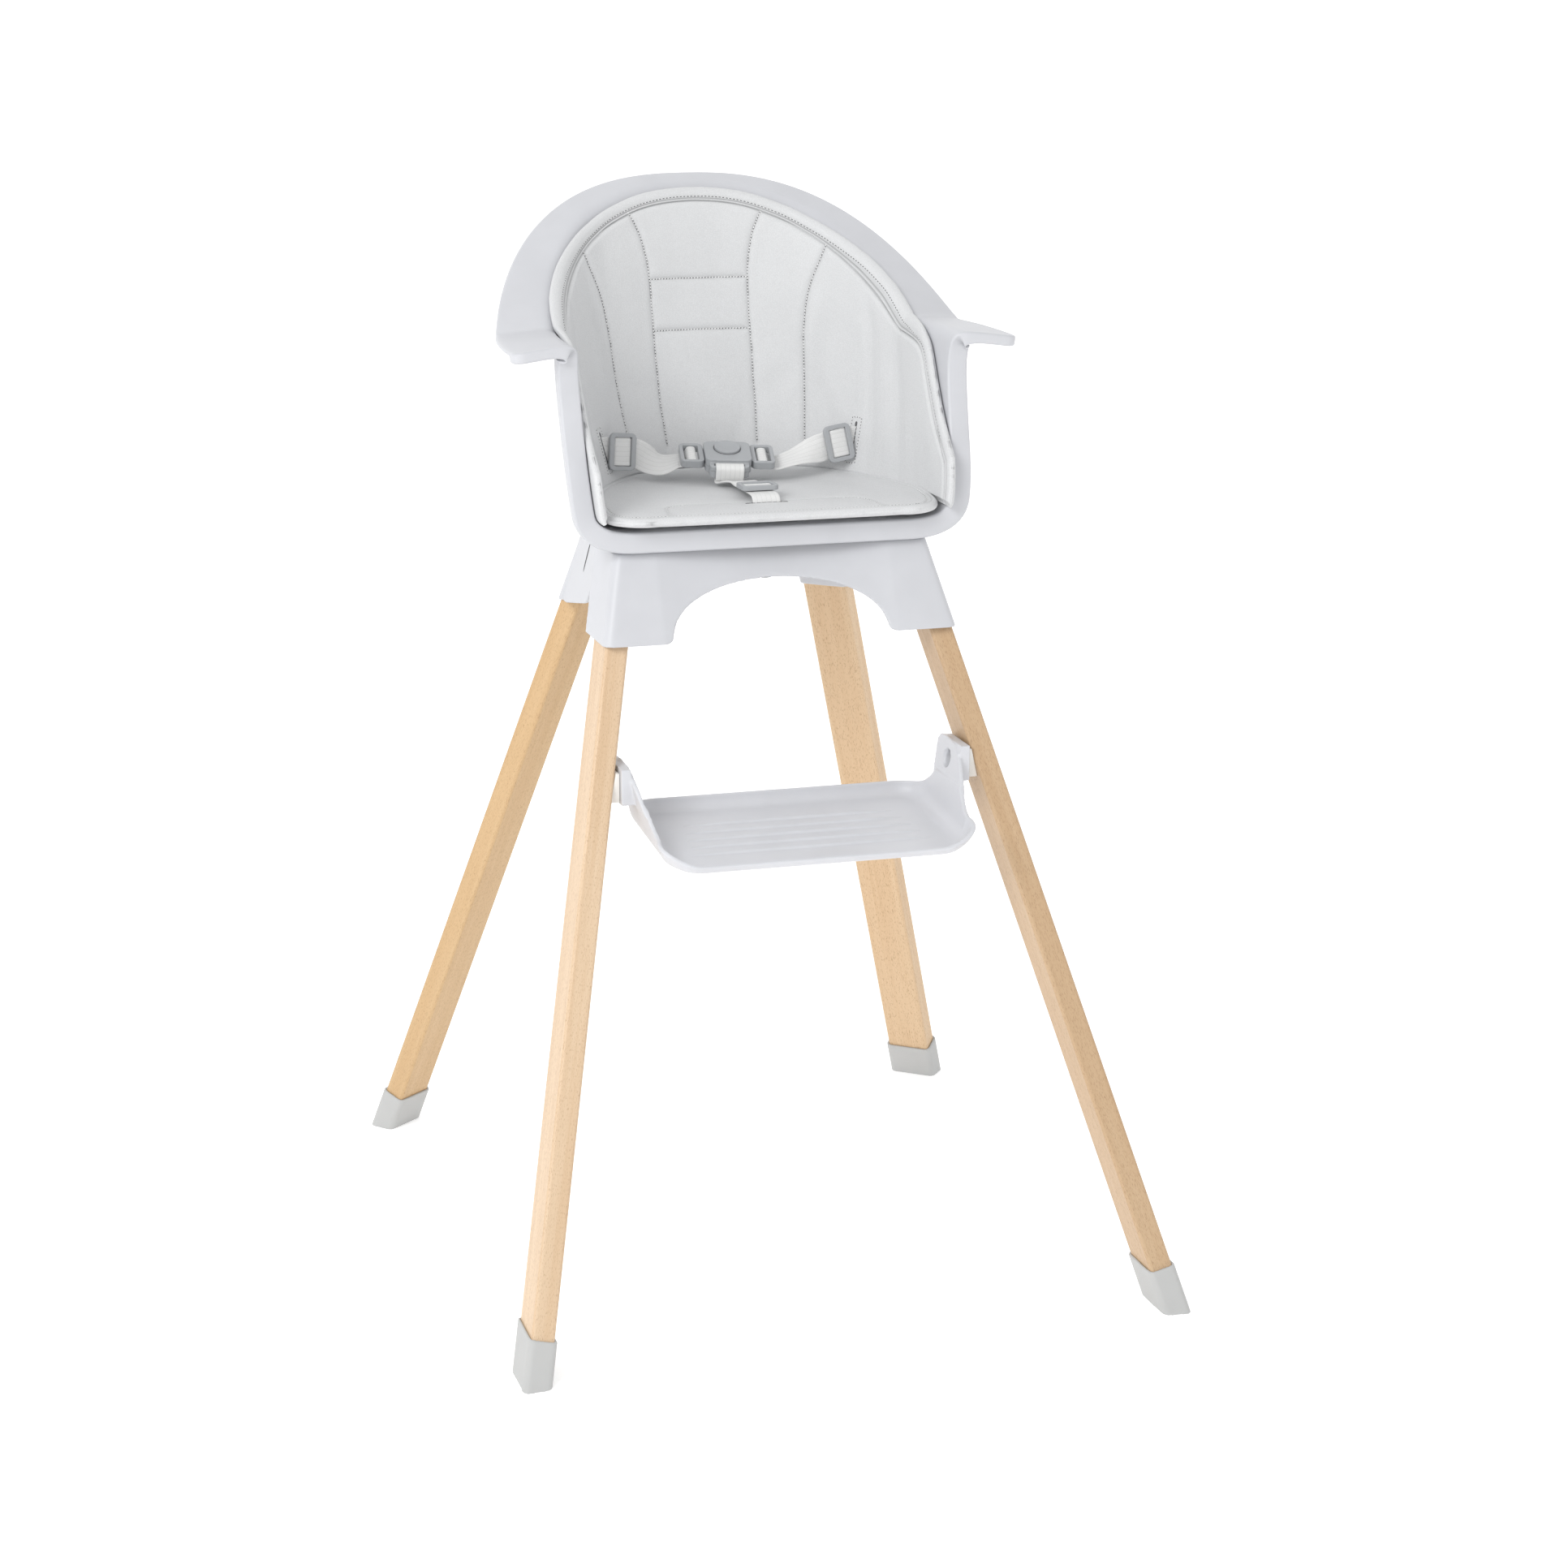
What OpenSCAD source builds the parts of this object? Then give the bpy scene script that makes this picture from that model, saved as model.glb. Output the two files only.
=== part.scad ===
// Baby high chair: a moulded bucket seat with a quilted liner and a three-point harness,
// on a moulded leg frame with four splayed beech legs and a hook-on footrest.
// Millimetres, +Z up, the child faces -Y, the floor is z = 0, the chair is symmetric about x = 0.

/* [Legs] */
// Thickness of each beech leg
leg_t = 20; // [18:0.5:22]
// Width of each beech leg
leg_w = 41.5; // [38:0.5:44]
// Half the span between the front feet, centre to centre
front_foot_x = 279; // [274:0.5:282]
// Distance of the front feet ahead of the middle
front_foot_y = 310.5; // [306:0.5:314]
// Half the span between the rear feet, centre to centre
rear_foot_x = 268.5; // [264:0.5:272]
// Distance of the rear feet behind the middle
rear_foot_y = 310.5; // [306:0.5:314]
// Height of the soft foot caps
cap_h = 36; // [30:1:42]
// Wall of the foot caps
cap_wall = 2.3; // [1.8:0.1:3]

/* [Leg frame] */
// Height of the top of the leg frame
frame_top = 626; // [624:0.5:627]
// Height of the mouths of the front leg sockets
front_mouth = 553; // [548:1:558]
// Height of the mouths of the rear leg sockets
rear_mouth = 546; // [536:1:548]
// Wall of the leg sockets
socket_wall = 3; // [2.5:0.1:3.5]
// Height of the arch above the front socket mouths
arch_h = 46.5; // [40:0.5:54]
// Half width of the arch
arch_half = 96; // [88:1:98]

/* [Seat] */
// Half width of the seat between the armrest tips
arm_half = 224; // [215:1:232]
// Height of the armrests
arm_z = 797; // [790:1:804]
// Height of the top of the backrest
back_z = 917; // [900:1:930]
// Wall of the moulded seat
shell_t = 4; // [3.5:0.1:5]
// Depth of the thick lip round the front opening
lip_t = 18; // [15:0.5:20]
// Thickness of the quilted back liner
back_pad_t = 9; // [7:0.5:10]
// Thickness of the seat liner
seat_pad_t = 14; // [12:0.5:15]

/* [Harness] */
// Width of the webbing
web_w = 25; // [20:1:26]
// Thickness of the webbing
web_t = 1.4; // [1.2:0.1:1.6]

/* [Footrest] */
// Half width of the footrest tray
rest_half = 132; // [126:1:134]
// Depth of the footrest tray
rest_depth = 142; // [130:1:150]

/* [Motion] */
// Travel of the buckle's release button
button_travel = 2.2; // [1.5:0.1:2.4]
// Travel of the seat release tab
latch_travel = 2.5; // [1.5:0.5:2.5]

/* [Hidden] */

plastic = [0.87, 0.87, 0.89];
cap_grey = [0.78, 0.79, 0.79];
beech = [0.89, 0.76, 0.59];
liner = [0.83, 0.85, 0.84];
buckle_grey = [0.68, 0.70, 0.72];
webbing = [0.90, 0.90, 0.89];
steel = [0.75, 0.76, 0.78];

fit = 0.3;      // clearance between parts that slide
touch = 0.05;   // clearance between parts that are seated in each other
eps = 0.01;

// ---- Vector helpers ----
function unit(v) = v / norm(v);
function square_to(v, axis) = unit(v - (v * axis) * axis);
function bump(t) = t <= 0 ? 0 : (t >= 1 ? 1 : t * t * (3 - 2 * t));

// Puts children in a frame with local X along u and local Z along w
module in_frame(origin, u, w) {
    v = cross(w, u);
    multmatrix([
        [u.x, v.x, w.x, origin.x],
        [u.y, v.y, w.y, origin.y],
        [u.z, v.z, w.z, origin.z],
        [0, 0, 0, 1]
    ]) children();
}

// Rectangle with round corners, made of true arcs
module round_rect(w, h, r) {
    square([w - 2 * r, h], center = true);
    square([w, h - 2 * r], center = true);
    for (x = [-1, 1], y = [-1, 1])
        translate([x * (w / 2 - r), y * (h / 2 - r)]) circle(r, $fn = 48);
}

// ---- Legs ----
front_up = unit([-0.244, 0.459, 1]);
rear_up = unit([-0.279, -0.292, 1]);
front_thin = square_to([cos(-4.7), sin(-4.7), 0], front_up);
rear_thin = square_to([cos(230), sin(230), 0], rear_up);
front_foot = [front_foot_x, -front_foot_y, 0];
rear_foot = [rear_foot_x, rear_foot_y, 0];
leg_top = 602;       // height of the upper ends of the legs
cap_floor = 3;       // thickness of the foot caps under the legs

function up_of(front) = front ? front_up : rear_up;
function foot_of(front) = front ? front_foot : rear_foot;
function thin_of(front) = front ? front_thin : rear_thin;
function leg_axis_at(front, z) = foot_of(front) + up_of(front) * (z / up_of(front).z);

// Right-hand leg's own frame: X across the thickness, Y across the width, Z up the leg
module leg_space(front, z = 0) in_frame(leg_axis_at(front, z), thin_of(front), up_of(front)) children();

// Centres the chair's footprint on the origin
base_y = (front_foot_y - rear_foot_y + 3.316) / 2;
module on_base() translate([0, base_y, 0]) children();

module slab(z0, z1) translate([-500, -500, z0]) cube([1000, 1000, z1 - z0]);

module leg_prism(front, extra, z0, z1, r = 3) {
    intersection() {
        leg_space(front)
            translate([0, 0, -60])
                linear_extrude(840)
                    round_rect(leg_t + 2 * extra, leg_w + 2 * extra, r + extra);
        slab(z0, z1);
    }
}

bolt_z = [588, 580];   // heights of the front and rear leg bolts
bolt_r = 3;
nut_r = 5;

module leg(front) {
    color(beech) on_base() difference() {
        leg_prism(front, 0, cap_floor, leg_top);
        leg_space(front, bolt_z[front ? 0 : 1]) {
            translate([-20, 0, 0]) rotate([0, 90, 0]) cylinder(h = 40, r = bolt_r + fit, $fn = 48);
            rotate([90, 0, 0]) cylinder(h = 60, r = nut_r + touch, center = true, $fn = 48);
        }
        if (front) stud_bore(2 + touch);
    }
}

module foot_cap(front) {
    v = cross(up_of(front), thin_of(front));
    tilt = atan2(-v.z, up_of(front).z);
    color(cap_grey) on_base() difference() {
        intersection() {
            leg_prism(front, cap_wall, 0, cap_h + 12);
            leg_space(front, cap_h)
                rotate([tilt, 0, 0]) translate([-60, -60, -120]) cube([120, 120, 120]);
        }
        leg_prism(front, touch, cap_floor, cap_h + 20);
    }
}

// Inner side of a leg is at minus X of its frame in front and plus X at the rear
function bolt_side(front) = front ? -1 : 1;
bolt_seat = leg_t / 2 + socket_wall + touch;

module leg_bolt(front) {
    leg_space(front, bolt_z[front ? 0 : 1]) rotate([0, bolt_side(front) * 90, 0]) {
        translate([0, 0, nut_r + touch]) cylinder(h = bolt_seat - nut_r - touch, r = bolt_r, $fn = 48);
        difference() {
            translate([0, 0, bolt_seat]) cylinder(h = 3.5, r = 6, $fn = 48);
            translate([0, 0, bolt_seat + 1.5]) cylinder(h = 3, r = 2.5, $fn = 6);
        }
    }
}

module leg_bolts() {
    color(steel) on_base() for (front = [true, false], side = [0, 1]) mirror([side, 0, 0]) leg_bolt(front);
}

module barrel_nuts() {
    color(steel) on_base() for (front = [true, false], side = [0, 1]) mirror([side, 0, 0])
        leg_space(front, bolt_z[front ? 0 : 1])
            rotate([90, 0, 0]) cylinder(h = 24, r = nut_r, center = true, $fn = 48);
}

// ---- Leg frame ----
block_depth = 48;      // depth of the front block
corner_r = 9;          // round corners at the front of the block
wall = 3.5;            // wall of the frame
plate_t = 5;           // thickness of the frame's top plate
bow = 9;               // how far the apron bows back between the sockets
mouth_half = 158;      // half width of the block at the mouths of its sockets
mouth_front = -87;     // front of the block at the mouths
socket_across = 29;    // width of a front socket across the chair
block_u = square_to([1, 0, 0], front_up);
block_o = [0, mouth_front, front_mouth];
function block_front(z) = mouth_front + (z - front_mouth) * front_up.y / front_up.z;
function block_half(z) = mouth_half + (z - front_mouth) * front_up.x / front_up.z;

// The block leans like the front legs, so each half is a prism along its leg
module block_space() in_frame(block_o, block_u, front_up) children();
block_x = mouth_half * block_u.x;                  // its corner in that space
side_dir = unit([block_u.y, cross(front_up, block_u).y]);   // its side face there
side_in = [-side_dir.y, side_dir.x];

module half_block(inset, depth, r) {
    x = block_x - inset;
    c = [x - r * (1 - side_dir.x) / side_dir.y, r];
    t = c - side_in * r;
    far = [x, 0] + side_dir * depth / side_dir.y * 0.905;
    intersection() {
        block_space() translate([0, 0, -60]) linear_extrude(220) {
            polygon([[-60, 0], [c.x, 0], t, far, [-60, far.y]]);
            translate(c) circle(r, $fn = 72);
        }
        translate([0, -300, front_mouth]) cube([300, 600, frame_top - front_mouth]);
    }
}

// Vertical-sided bow of the apron between the sockets, grown by a wall's thickness where asked
module apron_bow(grow) {
    half = 104;
    r = (half * half + bow * bow) / (2 * bow);
    block_space_x() translate([0, bow - r, -80]) cylinder(h = 240, r = r + grow, $fn = 180);
}
// As the block's space, but square to the chair's middle plane
module block_space_x() {
    lean = atan(front_up.y / front_up.z);
    translate(block_o) rotate([-lean, 0, 0]) children();
}

module block_cavity() {
    inner = block_half(frame_top) - socket_across;
    difference() {
        block_space_x() translate([-inner, wall * 0.9, -60]) cube([2 * inner, 120, 220]);
        apron_bow(wall);
        slab(frame_top - plate_t, frame_top + 60);
    }
}

// Arch under the apron
module arch_cut() {
    n = 40;
    r = 6;
    half = [for (i = [1:n / 2]) let (a = 180 * i / n, h = arch_h * pow(sin(a), 0.86)) if (h > r)
        [arch_half * cos(a), front_mouth + h]];
    foot = [for (a = [270:-15:180]) [arch_half + r + r * cos(a), front_mouth + r + r * sin(a)]];
    right = concat([[arch_half + r, front_mouth - 10]], foot, half);
    m = len(right);
    translate([0, 30, 0]) rotate([90, 0, 0]) linear_extrude(200)
        polygon(concat(right, [for (i = [m - 2:-1:0]) [-right[i].x, right[i].y]]));
}

// Wall from each front socket back to the rear one, arched underneath
side_a = [block_half(frame_top) - 5, -30, frame_top];
side_b = [116.5, 122, frame_top];
side_arch = [[-80, 530], [-80, 588], [-4, 590.5], [4, 590], [9, 587.5], [12.5, 583], [15, 576.5], [18.5, 571.5], [24, 568.3],
    [31, 566.4], [46, 563.2], [124, 547.4], [170, 547.4], [170, 530]];
module side_wall() {
    along = unit(side_b - side_a);
    out = unit(cross(along, -unit([-0.26, 0, 1])));
    difference() {
        intersection() {
            in_frame(side_a, along, out) translate([0, -120, -wall]) cube([norm(side_b - side_a) + 28, 240, wall]);
            slab(rear_mouth + 1, frame_top);
        }
        translate([200, 0, 0]) rotate([90, 0, -90]) linear_extrude(140) polygon([for (p = side_arch) [-p.x, p.y]]);
        translate([80, -160, 500]) cube([120, 160 + block_front(front_mouth) + 42, 160]);
        // past the rear socket
        leg_space(false, rear_mouth) translate([-200 - leg_t / 2 - socket_wall + eps, -200, -100]) cube([200, 400, 400]);
        // slit in the wall
        translate([80, 67.2, 586.5]) cube([120, 1.8, 28]);
    }
}

// The block's side reaches back past its socket
side_reach = 67;
module side_flange() {
    a = [block_x, 0] + side_dir * 30 / side_dir.y;
    b = [block_x, 0] + side_dir * side_reach / side_dir.y * 0.905;
    intersection() {
        block_space() translate([0, 0, -60]) linear_extrude(220)
            polygon([a, b, b + side_in * 11, a + side_in * 11]);
        slab(front_mouth, frame_top);
    }
}

// Wall between the rear sockets, arched underneath
module rear_wall() {
    difference() {
        intersection() {
            translate([0, 152, frame_top]) rotate([atan(0.292), 0, 0])
                translate([-100, -wall, -120]) cube([200, wall, 140]);
            slab(rear_mouth + 6, frame_top);
        }
        translate([0, 100, rear_mouth - 19]) rotate([-90, 0, 0]) cylinder(h = 120, r = 76, $fn = 120);
    }
}

module plate_outline() {
    x1 = block_half(frame_top) - 3;
    y1 = block_front(frame_top) + 12;
    polygon([[-x1, y1], [x1, y1], [x1, y1 + 32], [118, 122], [84, 151], [-84, 151], [-118, 122], [-x1, y1 + 32]]);
}

peg_x = 92;
peg_front_y = -26;
peg_rear_y = 104;
peg_r = 6;
tab_w = 18;
tab_t = 6;
tab_y = -33;      // front face of the release tab
tab_tip = 594;    // lowest point of the release tab
tab_shoulder = 4.5 - latch_travel; // thickness of its shoulder

module leg_frame() {
    color(plastic) on_base() difference() {
        union() {
            difference() {
                union() for (side = [0, 1]) mirror([side, 0, 0]) half_block(0, block_depth, corner_r);
                block_cavity();
            }
            for (side = [0, 1]) mirror([side, 0, 0]) {
                side_wall();
                side_flange();
                leg_prism(false, socket_wall, rear_mouth, frame_top);
            }
            rear_wall();
            translate([0, 0, frame_top - plate_t]) linear_extrude(plate_t) difference() {
                plate_outline();
                translate([0, 38]) round_rect(150, 96, 20);
            }
            // guides beside the release tab
            for (side = [-1, 1])
                translate([side * (tab_w / 2 + fit + 1.5) - 1.5, tab_y - 1, 606]) cube([3, tab_t + 2, 16]);
        }
        arch_cut();
        apron_bow(0);
        for (side = [0, 1]) mirror([side, 0, 0]) {
            for (front = [true, false]) {
                leg_prism(front, touch, 500, leg_top + touch);
                leg_space(front, bolt_z[front ? 0 : 1])
                    rotate([0, bolt_side(front) * 90, 0]) cylinder(h = 30, r = bolt_r + fit, $fn = 48);
            }
            leg_space(true, bolt_z[0])
                rotate([0, -90, 0]) translate([0, 0, bolt_seat]) cylinder(h = 30, r = 8, $fn = 48);
            for (y = [peg_front_y, peg_rear_y])
                translate([peg_x, y, frame_top - 20]) cylinder(h = 30, r = peg_r + fit, $fn = 64);
        }
        translate([-tab_w / 2 - fit, tab_y - fit, 590]) cube([tab_w + 2 * fit, tab_t + 2 * fit, 60]);
    }
}

// Release tab: a flat plunger with a shoulder that rests on the plate and a round finger end
module seat_release_tab() {
    color(buckle_grey) on_base() translate([0, tab_y + tab_t, 0]) rotate([90, 0, 0]) linear_extrude(tab_t) {
        translate([-tab_w / 2, tab_tip + 10]) square([tab_w, frame_top - tab_tip - 8]);
        translate([-tab_w / 2 - 5, frame_top + touch]) square([tab_w + 10, tab_shoulder]);
        intersection() {
            translate([0, tab_tip + 15]) circle(r = 15, $fn = 72);
            translate([-tab_w / 2, tab_tip - 1]) square([tab_w, 14]);
        }
    }
}

// Spring between the tab's shoulder and the anchor of the crotch strap
spring_r = 2.6;
module release_spring() {
    z0 = frame_top + tab_shoulder + 2 * touch;
    color(steel) on_base() translate([0, tab_y + tab_t / 2, z0]) difference() {
        cylinder(h = anchor_z - anchor_t / 2 - touch - z0, r = spring_r, $fn = 32);
        translate([0, 0, -1]) cylinder(h = 20, r = spring_r - 0.8, $fn = 32);
    }
}

// ---- Seat shell ----
// Each rail runs from the front edge, round the back, to the other front edge:
// [half width, front y, back y, roundness, front z, back z, y where the rail starts to rise]
front_y = -62;
floor_z = 645;
rails = [
    [120, front_y, 98, 2.0, floor_z, floor_z, 0],
    [156, front_y, 134, 2.0, floor_z, floor_z + 2, 0],
    [161, front_y + 4, 149, 2.1, 678, 684, 0],
    [163, front_y + 24, 173, 2.5, 735, 748, 0],
    [164, front_y + 34, 203, 2.6, 778, 876, 60],
    [166, front_y + 24, 213, 2.6, arm_z + 6, back_z - 11, 60],
    [194, front_y + 20, 223, 2.5, arm_z + 4, back_z - 4, 66],
    [arm_half, front_y + 17, 232, 2.45, arm_z, back_z, 74]
];
rise_power = 1.12;

// Point on rail k at s, from 0 at the front edge to 1 at the middle of the back
function rail_point(k, s) =
    let (
        r = rails[k],
        q = sin(90 * s),
        y = r[1] + (r[2] - r[1]) * q,
        x = r[0] * pow(max(0, 1 - pow(abs(q), r[3])), 1 / r[3]),
        rise = pow(max(0, (y - r[6]) / (r[2] - r[6])), rise_power)
    )
    [x, y, r[4] + (r[5] - r[4]) * rise];

// Quadratic B-spline across the rails, v from 0 at the floor to 1 at the rim
segments = len(rails) - 2;
function ctrl(k, s) = rail_point(k, s);
function across(s, v) =
    let (
        t = min(v, 1 - 1e-6) * segments,
        i = floor(t),
        f = t - i,
        p0 = ctrl(i, s),
        p1 = ctrl(i + 1, s),
        p2 = ctrl(i + 2, s),
        a = i == 0 ? p0 : (p0 + p1) / 2,
        c = i == segments - 1 ? p2 : (p1 + p2) / 2
    )
    a * (1 - f) * (1 - f) + p1 * 2 * f * (1 - f) + c * f * f;

// Outward normal of the seat's inner surface
function normal(s, v) =
    let (
        d = 0.004,
        t = min(s, 0.98),
        ds = across(t + d, v) - across(t - d, v),
        dv = across(t, min(v + d, 1)) - across(t, max(v - d, 0)),
        n = cross(ds, dv)
    )
    v <= 0 ? [0, 0, -1] : (s > 0.975 ? unit([0, n.y, n.z]) : unit(n));

function mirrored(p, side) = [side * p.x, p.y, p.z];
function offset_point(s, v, d) = across(s, v) + normal(s, v) * d;

// Thickness of the moulding: a deep lip along the front edge, thinner on the armrests
lip_end = 0.036;
function lip(v) = lip_t + (9.5 - lip_t) * bump((v - 0.70) / 0.2);
function shell_thickness(s, v) = s <= lip_end ? lip(v) : shell_t;

half_steps = concat([0, lip_end, lip_end + 0.006], [for (i = [1:11]) 0.042 + (1 - 0.042) * i / 11]);
v_steps = [for (i = [0:30]) i / 30];
half_n = len(half_steps);
cols = 2 * half_n - 1;
rows = len(v_steps);
function col_s(c) = half_steps[c < half_n ? c : cols - 1 - c];
function col_side(c) = c < half_n ? 1 : -1;

// A closed solid between two layers over columns and rows, with its floor bridged across
module bucket(layer_in, layer_out, n_cols, n_rows) {
    n = n_cols * n_rows;
    mid = (n_cols - 1) / 2;
    inner = function (c, r) r * n_cols + c;
    outer = function (c, r) n + r * n_cols + c;
    grid = [for (r = [0:n_rows - 2], c = [0:n_cols - 2], t = [0, 1])
        t == 0 ? [inner(c, r), inner(c + 1, r), inner(c + 1, r + 1)]
               : [inner(c, r), inner(c + 1, r + 1), inner(c, r + 1)]];
    grid_out = [for (r = [0:n_rows - 2], c = [0:n_cols - 2], t = [0, 1])
        t == 0 ? [outer(c + 1, r), outer(c, r), outer(c + 1, r + 1)]
               : [outer(c + 1, r + 1), outer(c, r), outer(c, r + 1)]];
    rim = [for (c = [0:n_cols - 2], t = [0, 1]) let (r = n_rows - 1)
        t == 0 ? [inner(c, r), inner(c + 1, r), outer(c + 1, r)]
               : [inner(c, r), outer(c + 1, r), outer(c, r)]];
    ends = [for (r = [0:n_rows - 2], e = [0, 1], t = [0, 1]) let (c = e * (n_cols - 1))
        e == 0
            ? (t == 0 ? [inner(c, r), inner(c, r + 1), outer(c, r + 1)]
                      : [inner(c, r), outer(c, r + 1), outer(c, r)])
            : (t == 0 ? [inner(c, r + 1), inner(c, r), outer(c, r + 1)]
                      : [outer(c, r + 1), inner(c, r), outer(c, r)])];
    floor_in = [for (c = [0:mid - 1], t = [0, 1]) let (o = n_cols - 1)
        if (t == 0 || c < mid - 1)
        t == 0 ? [inner(c, 0), inner(o - c, 0), inner(c + 1, 0)]
               : [inner(c + 1, 0), inner(o - c, 0), inner(o - c - 1, 0)]];
    floor_out = [for (c = [0:mid - 1], t = [0, 1]) let (o = n_cols - 1)
        if (t == 0 || c < mid - 1)
        t == 0 ? [outer(o - c, 0), outer(c, 0), outer(c + 1, 0)]
               : [outer(o - c, 0), outer(c + 1, 0), outer(o - c - 1, 0)]];
    front = [[inner(0, 0), outer(0, 0), inner(n_cols - 1, 0)],
             [outer(0, 0), outer(n_cols - 1, 0), inner(n_cols - 1, 0)]];
    faces = concat(
        [for (f = grid) [f[0], f[2], f[1]]], [for (f = grid_out) [f[0], f[2], f[1]]], rim, ends,
        [for (f = floor_in) [f[0], f[2], f[1]]], [for (f = floor_out) [f[0], f[2], f[1]]], front
    );
    polyhedron(points = concat(layer_in, layer_out), faces = faces, convexity = 10);
}

slot_w = 4;
slot_h = web_w + 3;
waist_s = 0.47;              // where each waist strap passes through the wall
waist_v = 0.26;
crotch_y = -34;              // where the crotch strap passes through the floor
waist_n = normal(waist_s, waist_v);
function waist_point(d) = across(waist_s, waist_v) + waist_n * d;

// Right-hand wall's frame at its slot: X out of the seat, Z up the wall
module waist_space(d) in_frame(waist_point(d), waist_n, square_to([0, 0, 1], waist_n)) children();

module strap_slots() {
    for (side = [0, 1]) mirror([side, 0, 0])
        waist_space(0) cube([70, slot_w, slot_h], center = true);
    translate([0, crotch_y, 650]) cube([slot_h, slot_w, 60], center = true);
}

module seat_shell() {
    color(plastic) on_base() difference() {
        bucket(
            [for (r = [0:rows - 1], c = [0:cols - 1])
                mirrored(across(col_s(c), v_steps[r]), col_side(c))],
            [for (r = [0:rows - 1], c = [0:cols - 1]) let (s = col_s(c), v = v_steps[r])
                mirrored(offset_point(s, v, shell_thickness(s, v)), col_side(c))],
            cols, rows
        );
        strap_slots();
    }
}

// Bosses that stand the seat on the leg frame, with pegs that locate it
module seat_bosses() {
    boss_top = floor_z - shell_t - touch;
    color(plastic) on_base() for (side = [-1, 1], y = [peg_front_y, peg_rear_y])
        translate([side * peg_x, y, 0]) difference() {
            union() {
                translate([0, 0, frame_top + fit]) cylinder(h = boss_top - frame_top - fit, r = 10, $fn = 64);
                translate([0, 0, frame_top - 12]) cylinder(h = 14, r = peg_r, $fn = 64);
            }
            translate([0, 0, frame_top - 13]) cylinder(h = 40, r = 2.2, $fn = 32);
        }
}

module seat_screws() {
    color(steel) on_base() for (side = [-1, 1], y = [peg_front_y, peg_rear_y])
        translate([side * peg_x, y, frame_top - 12 - touch]) {
            cylinder(h = 24, r = 2, $fn = 32);
            translate([0, 0, -2.5]) cylinder(h = 2.5, r = 4, $fn = 32);
        }
}

// ---- Liner ----
pad_gap = 1.2;
pad_front_s = -0.045;
pad_steps_s = concat([pad_front_s, 0.011, 0.042, 0.084], [for (i = [1:11]) 0.042 + (1 - 0.042) * i / 11]);
pad_n = len(pad_steps_s);
pad_cols = 2 * pad_n - 1;
pad_rows = 16;
pad_low = 0.175;   // where the back liner starts above the floor
// Upper edge of the back liner: up the front of the wings, over the armrests and round the back
function pad_top(s) = lookup(s, [[-0.05, 0.30], [0.011, 0.38], [0.045, 0.455], [0.084, 0.60], [0.16, 0.71],
    [0.25, 0.77], [0.354, 0.795], [0.45, 0.785], [0.57, 0.752], [0.67, 0.73], [0.8, 0.725], [1, 0.75]]);
function pad_s(c) = pad_steps_s[c < pad_n ? c : pad_cols - 1 - c];
function pad_v(s, r) = pad_low + (pad_top(s) - pad_low) * r / (pad_rows - 1);

// A closed strip of constant thickness round the inside of the bucket
module strip(layer_in, layer_out, n_cols, n_rows) {
    n = n_cols * n_rows;
    inner = function (c, r) r * n_cols + c;
    outer = function (c, r) n + r * n_cols + c;
    quad = function (a, b, c, d) [[a, b, c], [a, c, d]];
    faces = [
        for (r = [0:n_rows - 2], c = [0:n_cols - 2]) each quad(inner(c, r), inner(c, r + 1), inner(c + 1, r + 1), inner(c + 1, r)),
        for (r = [0:n_rows - 2], c = [0:n_cols - 2]) each quad(outer(c, r), outer(c + 1, r), outer(c + 1, r + 1), outer(c, r + 1)),
        for (c = [0:n_cols - 2]) each quad(inner(c, n_rows - 1), outer(c, n_rows - 1), outer(c + 1, n_rows - 1), inner(c + 1, n_rows - 1)),
        for (c = [0:n_cols - 2]) each quad(inner(c, 0), inner(c + 1, 0), outer(c + 1, 0), outer(c, 0)),
        for (r = [0:n_rows - 2]) each quad(inner(0, r), outer(0, r), outer(0, r + 1), inner(0, r + 1)),
        for (r = [0:n_rows - 2]) each quad(inner(n_cols - 1, r), inner(n_cols - 1, r + 1), outer(n_cols - 1, r + 1), outer(n_cols - 1, r))
    ];
    polyhedron(points = concat(layer_in, layer_out), faces = faces, convexity = 10);
}

module back_pad() {
    color(liner) on_base() difference() {
        strip(
            [for (r = [0:pad_rows - 1], c = [0:pad_cols - 1]) let (s = pad_s(c))
                mirrored(offset_point(s, pad_v(s, r), -pad_gap - back_pad_t), c < pad_n ? 1 : -1)],
            [for (r = [0:pad_rows - 1], c = [0:pad_cols - 1]) let (s = pad_s(c))
                mirrored(offset_point(s, pad_v(s, r), -pad_gap), c < pad_n ? 1 : -1)],
            pad_cols, pad_rows
        );
        strap_slots();
    }
}

seat_pad_front = -80;
seat_step = 5;       // the liner's underside is stepped to clear the bucket's round corner

// Plan of the seat liner: round at the back, straight across the front
module seat_plan(half, back) {
    n = 40;
    r = 20;
    polygon([for (i = [0:n]) let (a = 180 * i / n, c = cos(a))
        [half * sign(c) * pow(abs(c), 0.9), -58 + (back + 58) * pow(sin(a), 0.94)]]);
    translate([-half + r, seat_pad_front]) square([2 * (half - r), 30]);
    translate([-half, seat_pad_front + r]) square([2 * half, 8]);
    for (side = [-1, 1]) translate([side * (half - r), seat_pad_front + r]) circle(r, $fn = 64);
}

module seat_pad() {
    z0 = floor_z + pad_gap;
    color(liner) on_base() difference() {
        union() {
            translate([0, 0, z0]) linear_extrude(seat_step) seat_plan(117, 95);
            translate([0, 0, z0 + seat_step]) linear_extrude(seat_pad_t - seat_step) seat_plan(143, 115);
        }
        strap_slots();
    }
}

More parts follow.
